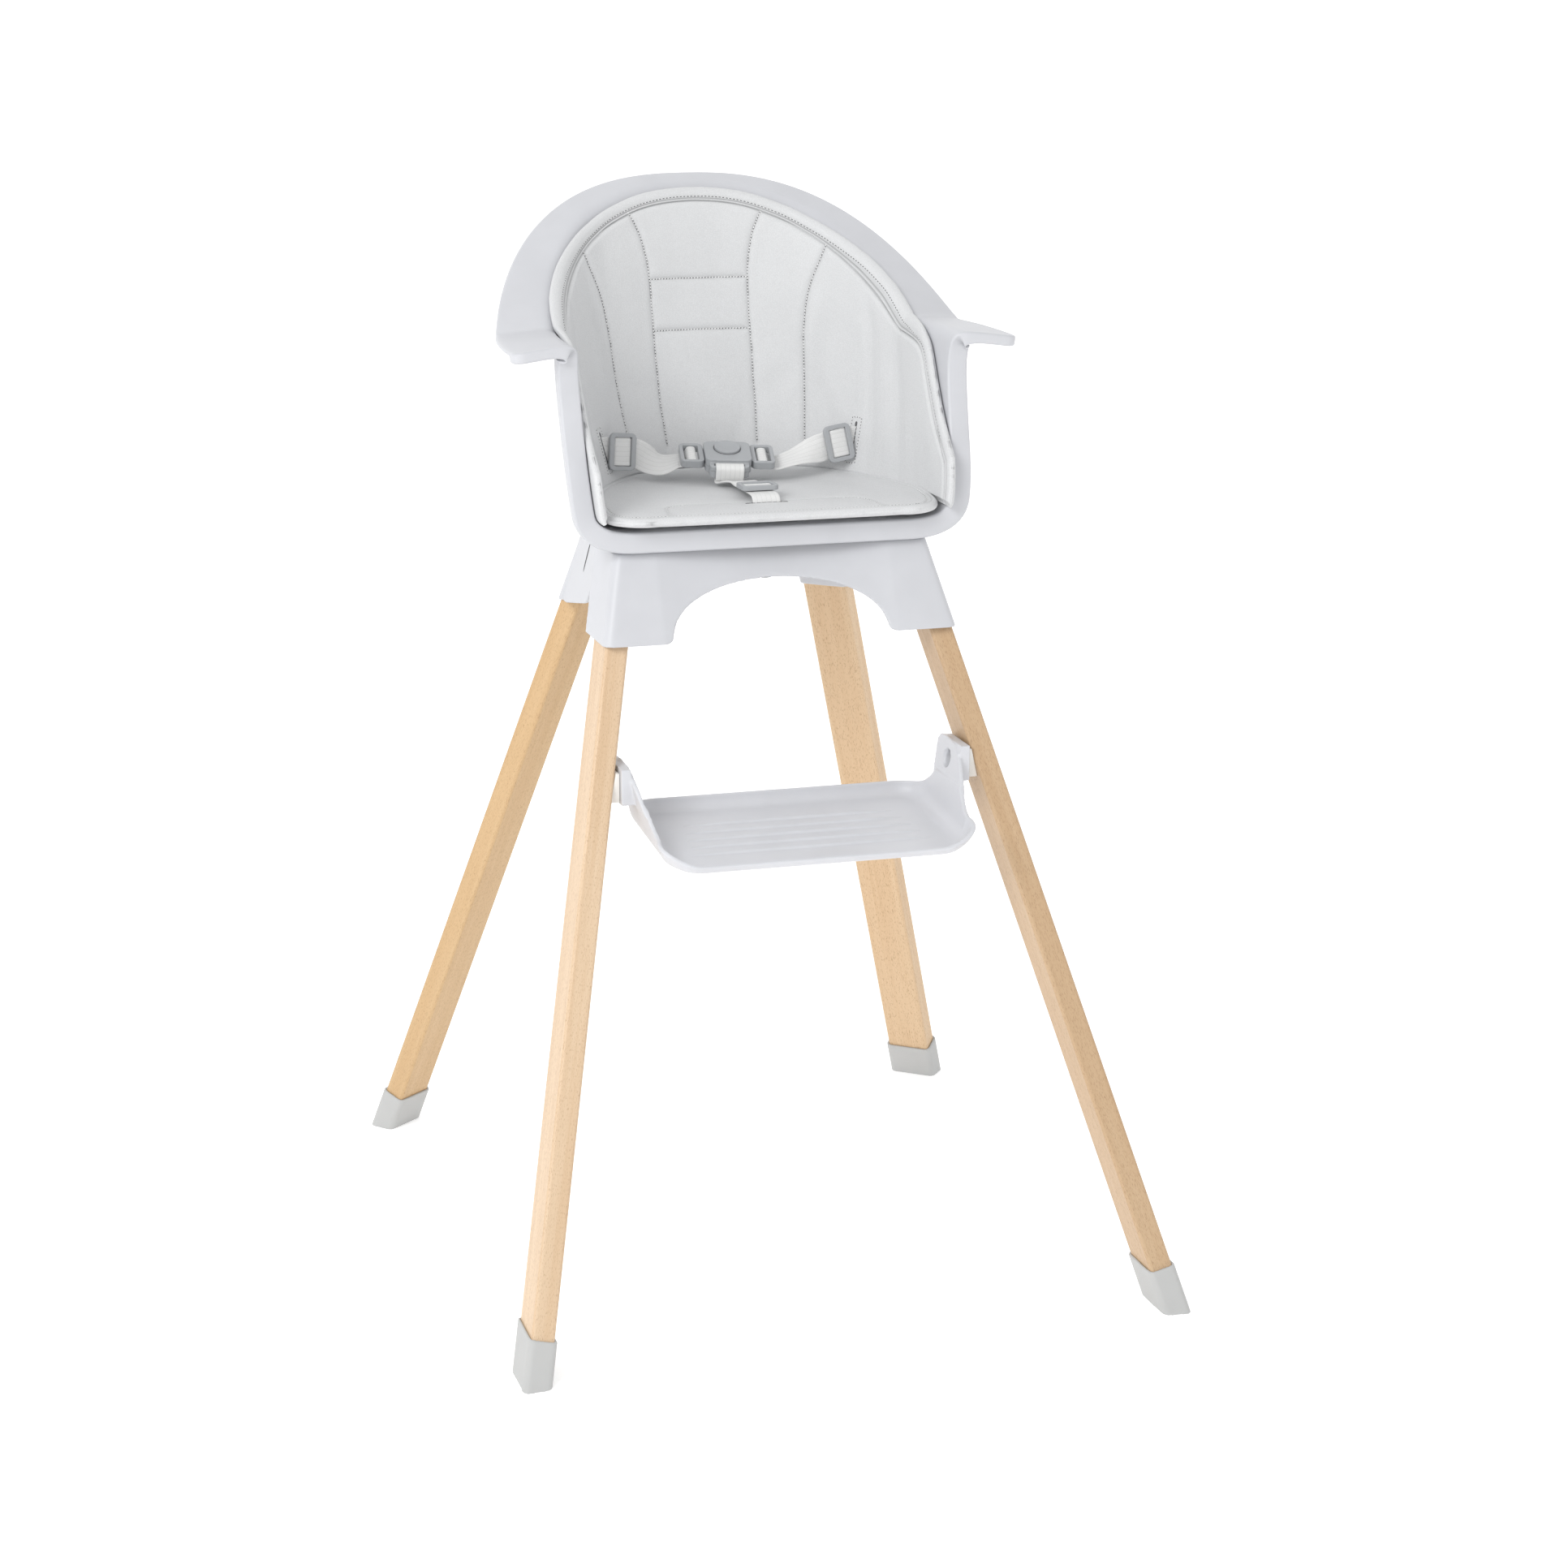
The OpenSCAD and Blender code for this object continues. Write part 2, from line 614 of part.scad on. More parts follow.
// ---- Harness ----
buckle_yaw = -10;      // turned a little to the left
buckle_slope = 18;     // rising towards the back
buckle_roll = 2;
buckle_at = [-4, 74, 681];
buckle_w = 41;
buckle_l = 46;
buckle_top = 7;        // upper face above the buckle's middle
buckle_base_t = 6;

// Buckle's frame: X to the right connector, Y up its face, Z out of its face
module buckle_space() translate(buckle_at) rotate([buckle_slope, buckle_roll, buckle_yaw]) children();
function turn_x(p, a) = [p.x, p.y * cos(a) - p.z * sin(a), p.y * sin(a) + p.z * cos(a)];
function turn_y(p, a) = [p.x * cos(a) + p.z * sin(a), p.y, p.z * cos(a) - p.x * sin(a)];
function turn_z(p, a) = [p.x * cos(a) - p.y * sin(a), p.x * sin(a) + p.y * cos(a), p.z];
function buckle_turn(p) = turn_z(turn_y(turn_x(p, buckle_slope), buckle_roll), buckle_yaw);
function buckle_point(p) = buckle_at + buckle_turn(p);

button_r = 11.5;
button_y = 5;          // button's middle above the buckle's middle
button_low = 2 + button_travel;
button_high = 9;
tongue_w = 15;
tongue_t = 3;
tongue_z = -2.8;       // underside of the tongues
tongue_in = 12;        // how far each tongue reaches into the buckle
slot_y = -21;          // slot for the crotch strap, at the lower end

// Outline shared by the two halves of the buckle
module buckle_outline(lower = true) {
    round_rect(buckle_w, buckle_l - 10, 6);
    if (lower) translate([0, -12]) round_rect(buckle_w - 6, 30, 5);
}

// Cuts common to both halves: the mouths for the tongues and the slot for the crotch strap
module buckle_cuts() {
    depth = tongue_in + 1;
    for (side = [0, 1]) mirror([side, 0, 0])
        translate([buckle_w / 2 - depth, button_y - tongue_w / 2 - fit, tongue_z - fit])
            cube([depth + 5, tongue_w + 2 * fit, tongue_t + 2 * fit]);
    translate([0, slot_y, 0]) cube([web_w + 2, 4.4, 40], center = true);
}

module buckle_body() {
    color(buckle_grey) on_base() buckle_space() difference() {
        union() {
            linear_extrude(buckle_top) buckle_outline(false);
            linear_extrude(buckle_top - 2.4) buckle_outline();
        }
        translate([0, button_y, 1.4]) cylinder(h = 20, r = button_r + 0.35, $fn = 72);
        translate([0, button_y, -1]) cylinder(h = 10, r = 4, $fn = 48);
        buckle_cuts();
    }
}

module buckle_base() {
    color(buckle_grey) on_base() buckle_space() difference() {
        translate([0, 0, -buckle_base_t]) linear_extrude(buckle_base_t - touch) buckle_outline();
        translate([0, button_y, -2.5]) cylinder(h = 10, r = 4, $fn = 48);
        buckle_cuts();
    }
}

// Round button with a shallow dish for the fingertip
module buckle_button() {
    dish_r = 78;
    color(buckle_grey) on_base() buckle_space() translate([0, button_y, 0]) difference() {
        translate([0, 0, button_low]) cylinder(h = button_high - button_low, r = button_r, $fn = 72);
        translate([0, 0, button_high - 0.9 + dish_r]) sphere(r = dish_r, $fn = 128);
    }
}

module button_spring() {
    z0 = -2.5 + touch;
    color(steel) on_base() buckle_space() translate([0, button_y, z0]) difference() {
        cylinder(h = button_low - touch - z0, r = 2.6, $fn = 32);
        translate([0, 0, -1]) cylinder(h = 12, r = 1.9, $fn = 32);
    }
}

// Connector in the buckle's frame: a tongue, a bar for the webbing between two windows, and a rim
conn_x = buckle_w / 2 + 0.4;
conn_l = 21;
conn_w = 34;
conn_y = button_y - 2;
module connector_shape() {
    difference() {
        translate([conn_x + conn_l / 2, conn_y, -3.5]) linear_extrude(7) round_rect(conn_l, conn_w, 5);
        translate([conn_x + 4.4, conn_y - web_w / 2 - 0.7, -10]) cube([4.4, web_w + 1.4, 20]);
        translate([conn_x + 12.4, conn_y - web_w / 2 - 0.7, -10]) cube([5.2, web_w + 1.4, 20]);
        translate([conn_x + 4.4, conn_y - web_w / 2 - 0.7, 0.6]) cube([12, web_w + 1.4, 20]);
    }
    translate([conn_x - tongue_in, button_y - tongue_w / 2, tongue_z]) cube([tongue_in + 1, tongue_w, tongue_t]);
}
module connector_right() color(buckle_grey) on_base() buckle_space() connector_shape();
module connector_left() color(buckle_grey) on_base() buckle_space() mirror([1, 0, 0]) connector_shape();

// A strip of webbing swept along a route; across_dirs are the directions across the strip
module ribbon(path, across_dirs, width, thick) {
    n = len(path);
    corners = [for (i = [0:n - 1]) let (
            t = unit(path[min(i + 1, n - 1)] - path[max(i - 1, 0)]),
            a = square_to(across_dirs[i], t) * width / 2,
            b = cross(t, square_to(across_dirs[i], t)) * thick / 2
        )
        each [path[i] + a + b, path[i] - a + b, path[i] - a - b, path[i] + a - b]];
    // both broad faces are split on the same diagonal, so a twist keeps its thickness
    sides = [for (i = [0:n - 2], k = [0:3]) let (p = 4 * i + k, q = 4 * i + (k + 1) % 4)
        each k < 2 ? [[p, p + 4, q + 4], [p, q + 4, q]] : [[p, p + 4, q], [p + 4, q + 4, q]]];
    ends = [[0, 1, 2], [0, 2, 3], [4 * n - 1, 4 * n - 2, 4 * n - 3], [4 * n - 1, 4 * n - 3, 4 * n - 4]];
    polyhedron(points = corners, faces = concat(ends, sides), convexity = 6);
}

function mirror_x(p) = [-p.x, p.y, p.z];
function line(a, b, n) = [for (i = [0:n]) a + (b - a) * i / n];

// Where each strap threads its connector: under the rim, up and over the bar, down again
function thread(side) = [for (p = [[24, -5.6], [20, -5.1], [17.2, -4.3], [15.2, -1.8], [13.6, 1.3], [12.2, 2.1],
    [10.6, 2.3], [8.9, 2.1], [7.4, 1.3], [6.6, -0.9], [6.5, -2.6]])
    buckle_point([side * (conn_x + p[0]), conn_y, p[1]])];
function thread_across(n) = [for (i = [0:n - 1]) buckle_turn([0, 1, 0])];

wall_across = square_to([0, 0, 1], waist_n);
right_in = [waist_point(9), waist_point(2), waist_point(-6), waist_point(-11)];
right_mid = [[112, 76.9, 691], [104.5, 76.6, 690.3], [97, 75.9, 689.2], [87, 74.9, 687.1], [77.5, 73.6, 684.6],
    [67, 71.9, 681.9], [56, 70.8, 679]];
right_route = concat(right_in, right_mid, thread(1));
right_across = concat(
    [for (p = right_in) wall_across],
    [[0, 0.2, 1], [0, 0.2, 1], [0, 0.2, 1], [0, 0.19, 1], [0, 0.5, 0.9], [0, 0.82, 0.6], [0, 0.95, 0.38]],
    thread_across(11));

left_in = [for (p = right_in) mirror_x(p)];
left_mid = [[-112.5, 78, 690.9], [-105, 78.9, 690.4], [-97, 79.9, 689.7], [-86, 81.4, 687.6], [-80, 82, 684.4],
    [-73.5, 82.6, 680.6], [-65.5, 83.6, 677.6], [-56.5, 85.6, 676.8]];
left_route = concat(left_in, left_mid, thread(-1));
left_across = concat(
    [for (p = left_in) mirror_x(wall_across)],
    [[0, 0.1, 1], [0, 0.1, 1], [0, 0.1, 1], [0, 0.07, 1], [0, 0.1, 1], [0, 0.3, 0.95], [0, 0.6, 0.8], [0, 0.88, 0.48]],
    thread_across(11));

crotch_in = [[0, crotch_y, 634], [0, crotch_y, 646], [0, crotch_y, 658], [0, crotch_y + 1, 662.5], [0, crotch_y + 4, 665.2]];
crotch_mid = [[0, crotch_y + 9, 666.2], [0, -16, 666.4], [0, -6, 666.4], [0, 6, 666.2], [-0.6, 20, 666], [-1.4, 34, 666.6]];
crotch_end = [for (p = [[slot_y - 9, -8.6], [slot_y - 4, -8.4], [slot_y - 0.4, -6], [slot_y - 0.2, 1], [slot_y - 0.3, 3.4]])
    buckle_point([0, p[0], p[1]])];
crotch_route = concat(crotch_in, crotch_mid, crotch_end);
crotch_across = concat([for (p = crotch_in) [1, 0, 0]], [for (p = crotch_mid) [1, 0, 0]],
    [for (p = crotch_end) buckle_turn([1, 0, 0])]);

module waist_strap_right() color(webbing) on_base() ribbon(right_route, right_across, web_w, web_t);
module waist_strap_left() color(webbing) on_base() ribbon(left_route, left_across, web_w, web_t);
module crotch_strap() color(webbing) on_base() ribbon(crotch_route, crotch_across, web_w, web_t);

// Slotted blocks outside the seat that stop the straps pulling through
anchor_t = 4.6;
anchor_z = 638;
module strap_anchors() {
    color(buckle_grey) on_base() {
        for (side = [0, 1]) mirror([side, 0, 0]) waist_space(shell_t + 3) difference() {
            cube([anchor_t, 16, 36], center = true);
            cube([20, web_t + 1.2, web_w + 1.2], center = true);
        }
        translate([0, crotch_y, anchor_z]) difference() {
            cube([36, 16, anchor_t], center = true);
            cube([web_w + 1.2, web_t + 1.2, 20], center = true);
        }
    }
}

// Slider in its own frame: X along the strap, Y across it, Z towards the child
adj_l = 25;
adj_w = 33;
adj_t = 4.2;
adj_lift = adj_t / 2 + web_t / 2 + 0.75;
module slider() {
    difference() {
        translate([0, 0, -adj_t / 2]) linear_extrude(adj_t) round_rect(adj_l, adj_w, 5);
        cube([adj_l - 9, web_w + 0.6, 20], center = true);
    }
}
// The fold of webbing that shows in the slider's window
module slider_loop() {
    translate([0, 0, 0.2]) cube([adj_l - 9.6, web_w, 2.4], center = true);
}

// Each slider's place on its strap: a point, the way along the strap and the way across it
slider_at = [right_route[5] * 0.32 + right_route[6] * 0.68, left_route[5] * 0.32 + left_route[6] * 0.68, crotch_route[7]];
slider_x = [unit(right_route[5] - right_route[6]), unit(left_route[6] - left_route[5]),
    unit(crotch_route[8] - crotch_route[6])];
slider_y = [right_across[5], left_across[5], [-1, 0, 0]];
function slider_out(k) = cross(slider_x[k], square_to(slider_y[k], slider_x[k]));
module slider_space(k) in_frame(slider_at[k] + slider_out(k) * adj_lift, slider_x[k], slider_out(k)) children();
module adjuster(k) color(buckle_grey) on_base() slider_space(k) slider();
module adjuster_loop(k) color(webbing) on_base() slider_space(k) slider_loop();

// ---- Footrest ----
rest_front_y = -205;
rest_floor_z = 385;
rest_tilt = 5;
rest_wall = 3.2;
plate_lean = 12.5;
module rest_space() translate([0, rest_front_y, rest_floor_z]) rotate([rest_tilt, 0, 0]) children();

module rest_tray() {
    rest_space() {
        difference() {
            linear_extrude(rest_wall) translate([0, rest_depth / 2]) round_rect(2 * rest_half, rest_depth, 18);
        }
        // five grip ribs
        for (i = [0:4])
            translate([0, 34 + i * 17, rest_wall + 0.2]) cube([210 - i * 6, 2, 1], center = true);
        // raised back edge
        translate([-rest_half + 1, rest_depth - rest_wall, 0]) cube([2 * rest_half - 2, rest_wall, 14]);
    }
}

// Side plate: a low wall that swells into an upright with a round window
plate_pts = [
    [-200, 386], [-211, 392], [-214, 399], [-210, 406], [-200, 410], [-186, 409], [-174, 411],
    [-162, 419], [-152, 430], [-138, 445], [-126, 455], [-117, 459], [-97, 461], [-82, 460],
    [-77, 455], [-80, 440], [-85, 424], [-80, 414], [-66, 411], [-62, 405], [-64, 396], [-70, 394]
];
module side_plate() {
    pivot = [rest_half - 2, 0, 388];
    translate(pivot) rotate([0, plate_lean, 0]) translate(-pivot) {
        difference() {
            translate([rest_half - 2, 0, 0]) rotate([90, 0, 90]) linear_extrude(rest_wall + 0.6) polygon(plate_pts);
            translate([rest_half - 10, -106, 444]) rotate([0, 90, 0]) cylinder(h = 20, r = 7.8, $fn = 64);
        }
    }
}

stud_y = -108;
stud_z = 442;
bracket_x = [147.5, 155];
// Pocket outside each upright, cut back to the slope of the side plate, open at its rear
head_h = 22;
neck_h = 12;
module bracket() {
    pivot = [rest_half - 2, 0, 388];
    x0 = bracket_x[0] + 3;
    difference() {
        translate([130, stud_y - 23, stud_z - 15]) cube([bracket_x[1] - 130, 46, 31]);
        translate(pivot) rotate([0, plate_lean, 0]) translate([-60 + rest_wall / 2, -300, -100]) cube([60, 600, 300]);
        translate([x0, stud_y - 13 - fit, stud_z - head_h / 2 - fit]) cube([2.6, 60, head_h + 2 * fit]);
        translate([x0, stud_y - 8 - fit, stud_z - neck_h / 2 - fit]) cube([9, 60, neck_h + 2 * fit]);
    }
}

module footrest() {
    color(plastic) on_base() difference() {
        union() {
            rest_tray();
            for (side = [0, 1]) mirror([side, 0, 0]) {
                side_plate();
                bracket();
            }
        }
        for (side = [0, 1]) mirror([side, 0, 0])
            translate([130, stud_y, stud_z]) rotate([0, 90, 0]) cylinder(h = 21, r = 7.6, $fn = 64);
    }
}

stud_head_t = 2;
module stud() {
    x0 = bracket_x[0] + 3.3;
    color("white") on_base() difference() {
        union() {
            translate([x0, stud_y - 13, stud_z - head_h / 2]) cube([stud_head_t, 26, head_h]);
            translate([x0, stud_y - 8, stud_z - neck_h / 2]) cube([8, 16, neck_h]);
            difference() {
                translate([bracket_x[1] + fit, stud_y - 18, 429]) cube([16, 36, 25]);
                leg_prism(true, touch, 400, 480, 1);
            }
        }
        stud_bore(2 + touch);
        translate([140, stud_y, stud_z]) rotate([0, 90, 0]) cylinder(h = x0 + 3.5 - 140, r = 4.3, $fn = 48);
        leg_space(true, stud_z) translate([-leg_t / 2 - touch, -60, -60]) cube([60, 120, 120]);
    }
}

stud_screw_end = 174;
module stud_bore(r) {
    translate([bracket_x[0] + 4.3, stud_y, stud_z]) rotate([0, 90, 0])
        cylinder(h = stud_screw_end + touch - bracket_x[0] - 4.3, r = r, $fn = 48);
}

module stud_screws() {
    x0 = bracket_x[0] + 4.2;
    color(steel) on_base() for (side = [0, 1]) mirror([side, 0, 0])
        translate([x0, stud_y, stud_z]) rotate([0, 90, 0]) {
            cylinder(h = 2.5, r = 4, $fn = 48);
            cylinder(h = stud_screw_end - x0, r = 2, $fn = 48);
        }
}

seat_shell();
seat_bosses();
seat_screws();
back_pad();
seat_pad();
leg_frame();
mirror([1, 0, 0]) leg(true);  // leg_front_left
leg(true);  // leg_front_right
mirror([1, 0, 0]) leg(false);  // leg_rear_left
leg(false);  // leg_rear_right
mirror([1, 0, 0]) foot_cap(true);  // foot_cap_front_left
foot_cap(true);  // foot_cap_front_right
mirror([1, 0, 0]) foot_cap(false);  // foot_cap_rear_left
foot_cap(false);  // foot_cap_rear_right
leg_bolts();
barrel_nuts();
seat_release_tab();
release_spring();
footrest();
mirror([1, 0, 0]) stud();  // footrest_stud_left
stud();  // footrest_stud_right
stud_screws();
waist_strap_left();
waist_strap_right();
crotch_strap();
strap_anchors();
adjuster(0);  // adjuster_right
adjuster(1);  // adjuster_left
adjuster(2);  // adjuster_crotch
adjuster_loop(0);  // adjuster_loop_right
adjuster_loop(1);  // adjuster_loop_left
adjuster_loop(2);  // adjuster_loop_crotch
buckle_body();
buckle_base();
buckle_button();
button_spring();
connector_left();
connector_right();
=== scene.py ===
"""Looks for the baby high chair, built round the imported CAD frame.

Design numbers are in millimetres, in the CAD source's own frame; to_scene() turns them into metres.
"""

import math

import bmesh
import bpy
import numpy as np
from mathutils import Matrix, Vector, kdtree


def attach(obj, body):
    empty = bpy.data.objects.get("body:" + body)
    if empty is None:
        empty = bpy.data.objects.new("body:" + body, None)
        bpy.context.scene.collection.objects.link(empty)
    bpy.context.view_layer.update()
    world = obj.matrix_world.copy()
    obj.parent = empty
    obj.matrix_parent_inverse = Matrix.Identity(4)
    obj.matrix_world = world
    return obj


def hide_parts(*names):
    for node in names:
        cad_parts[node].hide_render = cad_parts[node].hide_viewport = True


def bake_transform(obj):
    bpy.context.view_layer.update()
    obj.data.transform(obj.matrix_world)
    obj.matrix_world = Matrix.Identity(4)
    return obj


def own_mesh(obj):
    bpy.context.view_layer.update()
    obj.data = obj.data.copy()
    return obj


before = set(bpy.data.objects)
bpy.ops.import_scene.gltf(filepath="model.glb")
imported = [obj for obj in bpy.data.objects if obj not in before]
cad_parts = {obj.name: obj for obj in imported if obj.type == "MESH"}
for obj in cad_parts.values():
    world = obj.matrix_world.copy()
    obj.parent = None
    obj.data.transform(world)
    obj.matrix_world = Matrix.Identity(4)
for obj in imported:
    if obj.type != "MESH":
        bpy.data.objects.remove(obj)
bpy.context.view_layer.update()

MM = 0.001
BASE_Y = 1.658  # the CAD source centres the chair's footprint by this much
TAU = 2 * math.pi


def to_scene(points):
    """Design millimetres to scene metres."""
    return (np.asarray(points, float) + np.array([0, BASE_Y, 0])) * MM


def unit(v):
    v = np.asarray(v, float)
    return v / np.linalg.norm(v, axis=-1, keepdims=True)


def smooth(t):
    t = np.clip(t, 0, 1)
    return t * t * (3 - 2 * t)


def link(name, data):
    """A new object in the scene."""
    obj = bpy.data.objects.new(name, data)
    bpy.context.scene.collection.objects.link(obj)
    return obj


# ---- Camera ----


def make_camera():
    azimuth, elevation, roll = (math.radians(a) for a in (-17.3233, 15.1338, 0.4642))
    back = np.array([
        math.sin(azimuth) * math.cos(elevation),
        -math.cos(azimuth) * math.cos(elevation),
        math.sin(elevation),
    ])
    right = unit(np.cross(-back, [0, 0, 1]))
    up = np.cross(right, -back)
    right, up = (
        math.cos(roll) * right + math.sin(roll) * up,
        -math.sin(roll) * right + math.cos(roll) * up,
    )
    turn = np.stack([right, up, back], axis=1)
    camera = link("camera", bpy.data.cameras.new("camera"))
    place = Matrix(turn.tolist()).to_4x4()
    place.translation = Vector((-0.8893, -2.9398, 1.2324))
    camera.matrix_world = place
    camera.data.lens = 82.46
    camera.data.sensor_width = 36
    camera.data.clip_start, camera.data.clip_end = 0.05, 60
    bpy.context.scene.camera = camera


# ---- Materials ----


# Node names that recur in the shaders
VECTOR = "ShaderNodeVectorMath"


class Shader:
    """A node material under construction."""

    def __init__(self, name, rough, specular=0.5):
        self.mat = bpy.data.materials.new(name)
        self.mat.use_nodes = True
        self.tree = self.mat.node_tree
        self.bsdf = self.tree.nodes["Principled BSDF"]
        self.bsdf.inputs["Roughness"].default_value = rough
        self.bsdf.inputs["Specular IOR Level"].default_value = specular

    def node(self, kind, **settings):
        n = self.tree.nodes.new(kind)
        for key, value in settings.items():
            setattr(n, key, value)
        return n

    def put(self, value, socket):
        """Links an output to a socket, or sets the socket's value."""
        if isinstance(value, bpy.types.NodeSocket):
            self.tree.links.new(value, socket)
        else:
            socket.default_value = value

    def coords(self):
        return self.node("ShaderNodeTexCoord").outputs["Object"]

    def scaled(self, vector, scale):
        n = self.node(VECTOR, operation="MULTIPLY")
        self.put(vector, n.inputs[0])
        n.inputs[1].default_value = scale if hasattr(scale, "__len__") else (scale,) * 3
        return n.outputs[0]

    def math(self, operation, a, b=0.0):
        n = self.node("ShaderNodeMath", operation=operation)
        self.put(a, n.inputs[0])
        self.put(b, n.inputs[1])
        return n.outputs[0]

    def noise(self, vector, scale, detail=2.0, rough=0.5, distortion=0.0):
        n = self.node("ShaderNodeTexNoise")
        self.put(vector, n.inputs["Vector"])
        n.inputs["Scale"].default_value = scale
        n.inputs["Detail"].default_value = detail
        n.inputs["Roughness"].default_value = rough
        n.inputs["Distortion"].default_value = distortion
        return n.outputs["Fac"]

    def cells(self, vector, scale):
        n = self.node("ShaderNodeTexVoronoi", feature="DISTANCE_TO_EDGE")
        self.put(vector, n.inputs["Vector"])
        n.inputs["Scale"].default_value = scale
        return n.outputs["Distance"]

    def remap(self, value, low, high, to_low=0.0, to_high=1.0):
        n = self.node("ShaderNodeMapRange")
        self.put(value, n.inputs["Value"])
        for name, v in (("From Min", low), ("From Max", high), ("To Min", to_low), ("To Max", to_high)):
            n.inputs[name].default_value = v
        return n.outputs["Result"]

    def mix(self, factor, a, b):
        n = self.node("ShaderNodeMix", data_type="RGBA")
        self.put(factor, n.inputs[0])
        self.put(a if isinstance(a, bpy.types.NodeSocket) else (*a, 1.0), n.inputs[6])
        self.put(b if isinstance(b, bpy.types.NodeSocket) else (*b, 1.0), n.inputs[7])
        return n.outputs[2]

    def bump(self, height, distance, strength=1.0, after=None):
        n = self.node("ShaderNodeBump")
        n.inputs["Strength"].default_value = strength
        n.inputs["Distance"].default_value = distance
        self.put(height, n.inputs["Height"])
        if after is not None:
            self.put(after, n.inputs["Normal"])
        return n.outputs["Normal"]

    def done(self, colour, normal=None, rough=None):
        self.put(colour, self.bsdf.inputs["Base Color"])
        if normal is not None:
            self.put(normal, self.bsdf.inputs["Normal"])
        if rough is not None:
            self.put(rough, self.bsdf.inputs["Roughness"])
        return self.mat


def tint(colour, share):
    shares = share if hasattr(share, "__len__") else (share,) * 3
    return tuple(c * k for c, k in zip(colour, shares))


def moulded_plastic(name, colour, rough, grain=2600.0, depth=0.00003):
    """Moulded plastic: a fine spark-eroded grain, a little sink and haze, gloss that wanders."""
    s = Shader(name, rough, 0.45)
    at = s.coords()
    haze = s.noise(at, 22.0, 3.0)
    fine = s.noise(at, grain, 2.0, 0.6)
    sink = s.noise(at, 60.0, 1.0)
    paint = s.mix(s.remap(haze, 0.35, 0.65), tint(colour, 0.975), tint(colour, 1.015))
    normal = s.bump(fine, depth, 0.6, s.bump(sink, 0.0002, 0.35))
    return s.done(paint, normal, s.remap(haze, 0.3, 0.7, rough - 0.04, rough + 0.05))


BEECH_TONES = (
    (0.715, 0.520, 0.335), (0.640, 0.435, 0.258), (0.56, 0.365, 0.205), (0.76, 0.575, 0.385),
    (0.40, 0.235, 0.125),
)


def beech(name, origin, across, along, light):
    """Beech with its grain along a leg: soft growth bands, short dark ray flecks, fine pores."""
    s = Shader(name, 0.42, 0.42)
    wide = np.cross(along, across)
    at = s.node(VECTOR, operation="SUBTRACT")
    s.put(s.coords(), at.inputs[0])
    at.inputs[1].default_value = tuple(origin)
    local = s.node("ShaderNodeCombineXYZ")
    for axis, socket in zip((across, wide, along), local.inputs):
        dot = s.node(VECTOR, operation="DOT_PRODUCT")
        s.put(at.outputs[0], dot.inputs[0])
        dot.inputs[1].default_value = tuple(axis)
        s.put(dot.outputs["Value"], socket)
    p = local.outputs[0]
    bands = s.noise(s.scaled(p, (90, 90, 2.4)), 1.0, 4.0, 0.6, 0.6)
    fibres = s.noise(s.scaled(p, (900, 900, 16)), 1.0, 3.0, 0.7)
    flecks = s.noise(s.scaled(p, (2600, 1500, 330)), 1.0, 1.0, 0.4)
    cloud = s.noise(s.scaled(p, (14, 14, 3)), 1.0, 2.0)
    early, late, fibre, pale, fleck = (tint(c, light) for c in BEECH_TONES)
    wood = s.mix(s.remap(bands, 0.36, 0.66), early, late)
    wood = s.mix(s.remap(fibres, 0.3, 0.7, 0.0, 0.30), wood, fibre)
    wood = s.mix(s.remap(cloud, 0.3, 0.7, 0.0, 0.35), wood, pale)
    dark = s.remap(flecks, 0.60, 0.66, 0.0, 0.55)
    wood = s.mix(dark, wood, fleck)
    normal = s.bump(fibres, 0.00006, 0.5, s.bump(s.math("SUBTRACT", 1.0, dark), 0.00005, 0.5))
    return s.done(wood, normal, s.remap(fibres, 0.3, 0.7, 0.38, 0.5))


def leather(name, colour, rough=0.5):
    """Grained synthetic leather: pebbles of uneven size, parted by fine creases.

    The mesh's own point attribute paints shade into the grooves and along the seams.
    """
    s = Shader(name, rough, 0.4)
    at = s.coords()
    warp = s.node("ShaderNodeTexNoise")
    s.put(at, warp.inputs["Vector"])
    warp.inputs["Scale"].default_value = 420.0
    offset = s.scaled(warp.outputs["Color"], 0.0016)
    moved = s.node(VECTOR, operation="ADD")
    s.put(at, moved.inputs[0])
    s.put(offset, moved.inputs[1])
    pebbles = s.remap(s.cells(moved.outputs[0], 620.0), 0.0, 0.32)
    small = s.remap(s.cells(moved.outputs[0], 1250.0), 0.0, 0.30)
    height = s.math("ADD", s.math("MULTIPLY", pebbles, 0.7), s.math("MULTIPLY", small, 0.3))
    broad = s.noise(at, 18.0, 2.0)
    paint = s.mix(s.remap(broad, 0.35, 0.65), tint(colour, 0.985), tint(colour, 1.01))
    # painted shade: the low creases between the pebbles are darker
    paint = s.mix(s.remap(height, 0.0, 0.55, 0.35, 0.0), paint, tint(colour, 0.72))
    # painted shade in the grooves and along the seams, from the mesh's attribute
    groove_shade = s.node("ShaderNodeAttribute", attribute_name="groove_shade").outputs["Fac"]
    paint = s.mix(groove_shade, paint, tint(colour, 0.22))
    normal = s.bump(height, 0.00016, 0.55, s.bump(s.noise(at, 130.0, 2.0), 0.0004, 0.35))
    s.bsdf.inputs["Sheen Weight"].default_value = 0.08
    return s.done(paint, normal, s.remap(height, 0.0, 1.0, rough + 0.08, rough - 0.06))


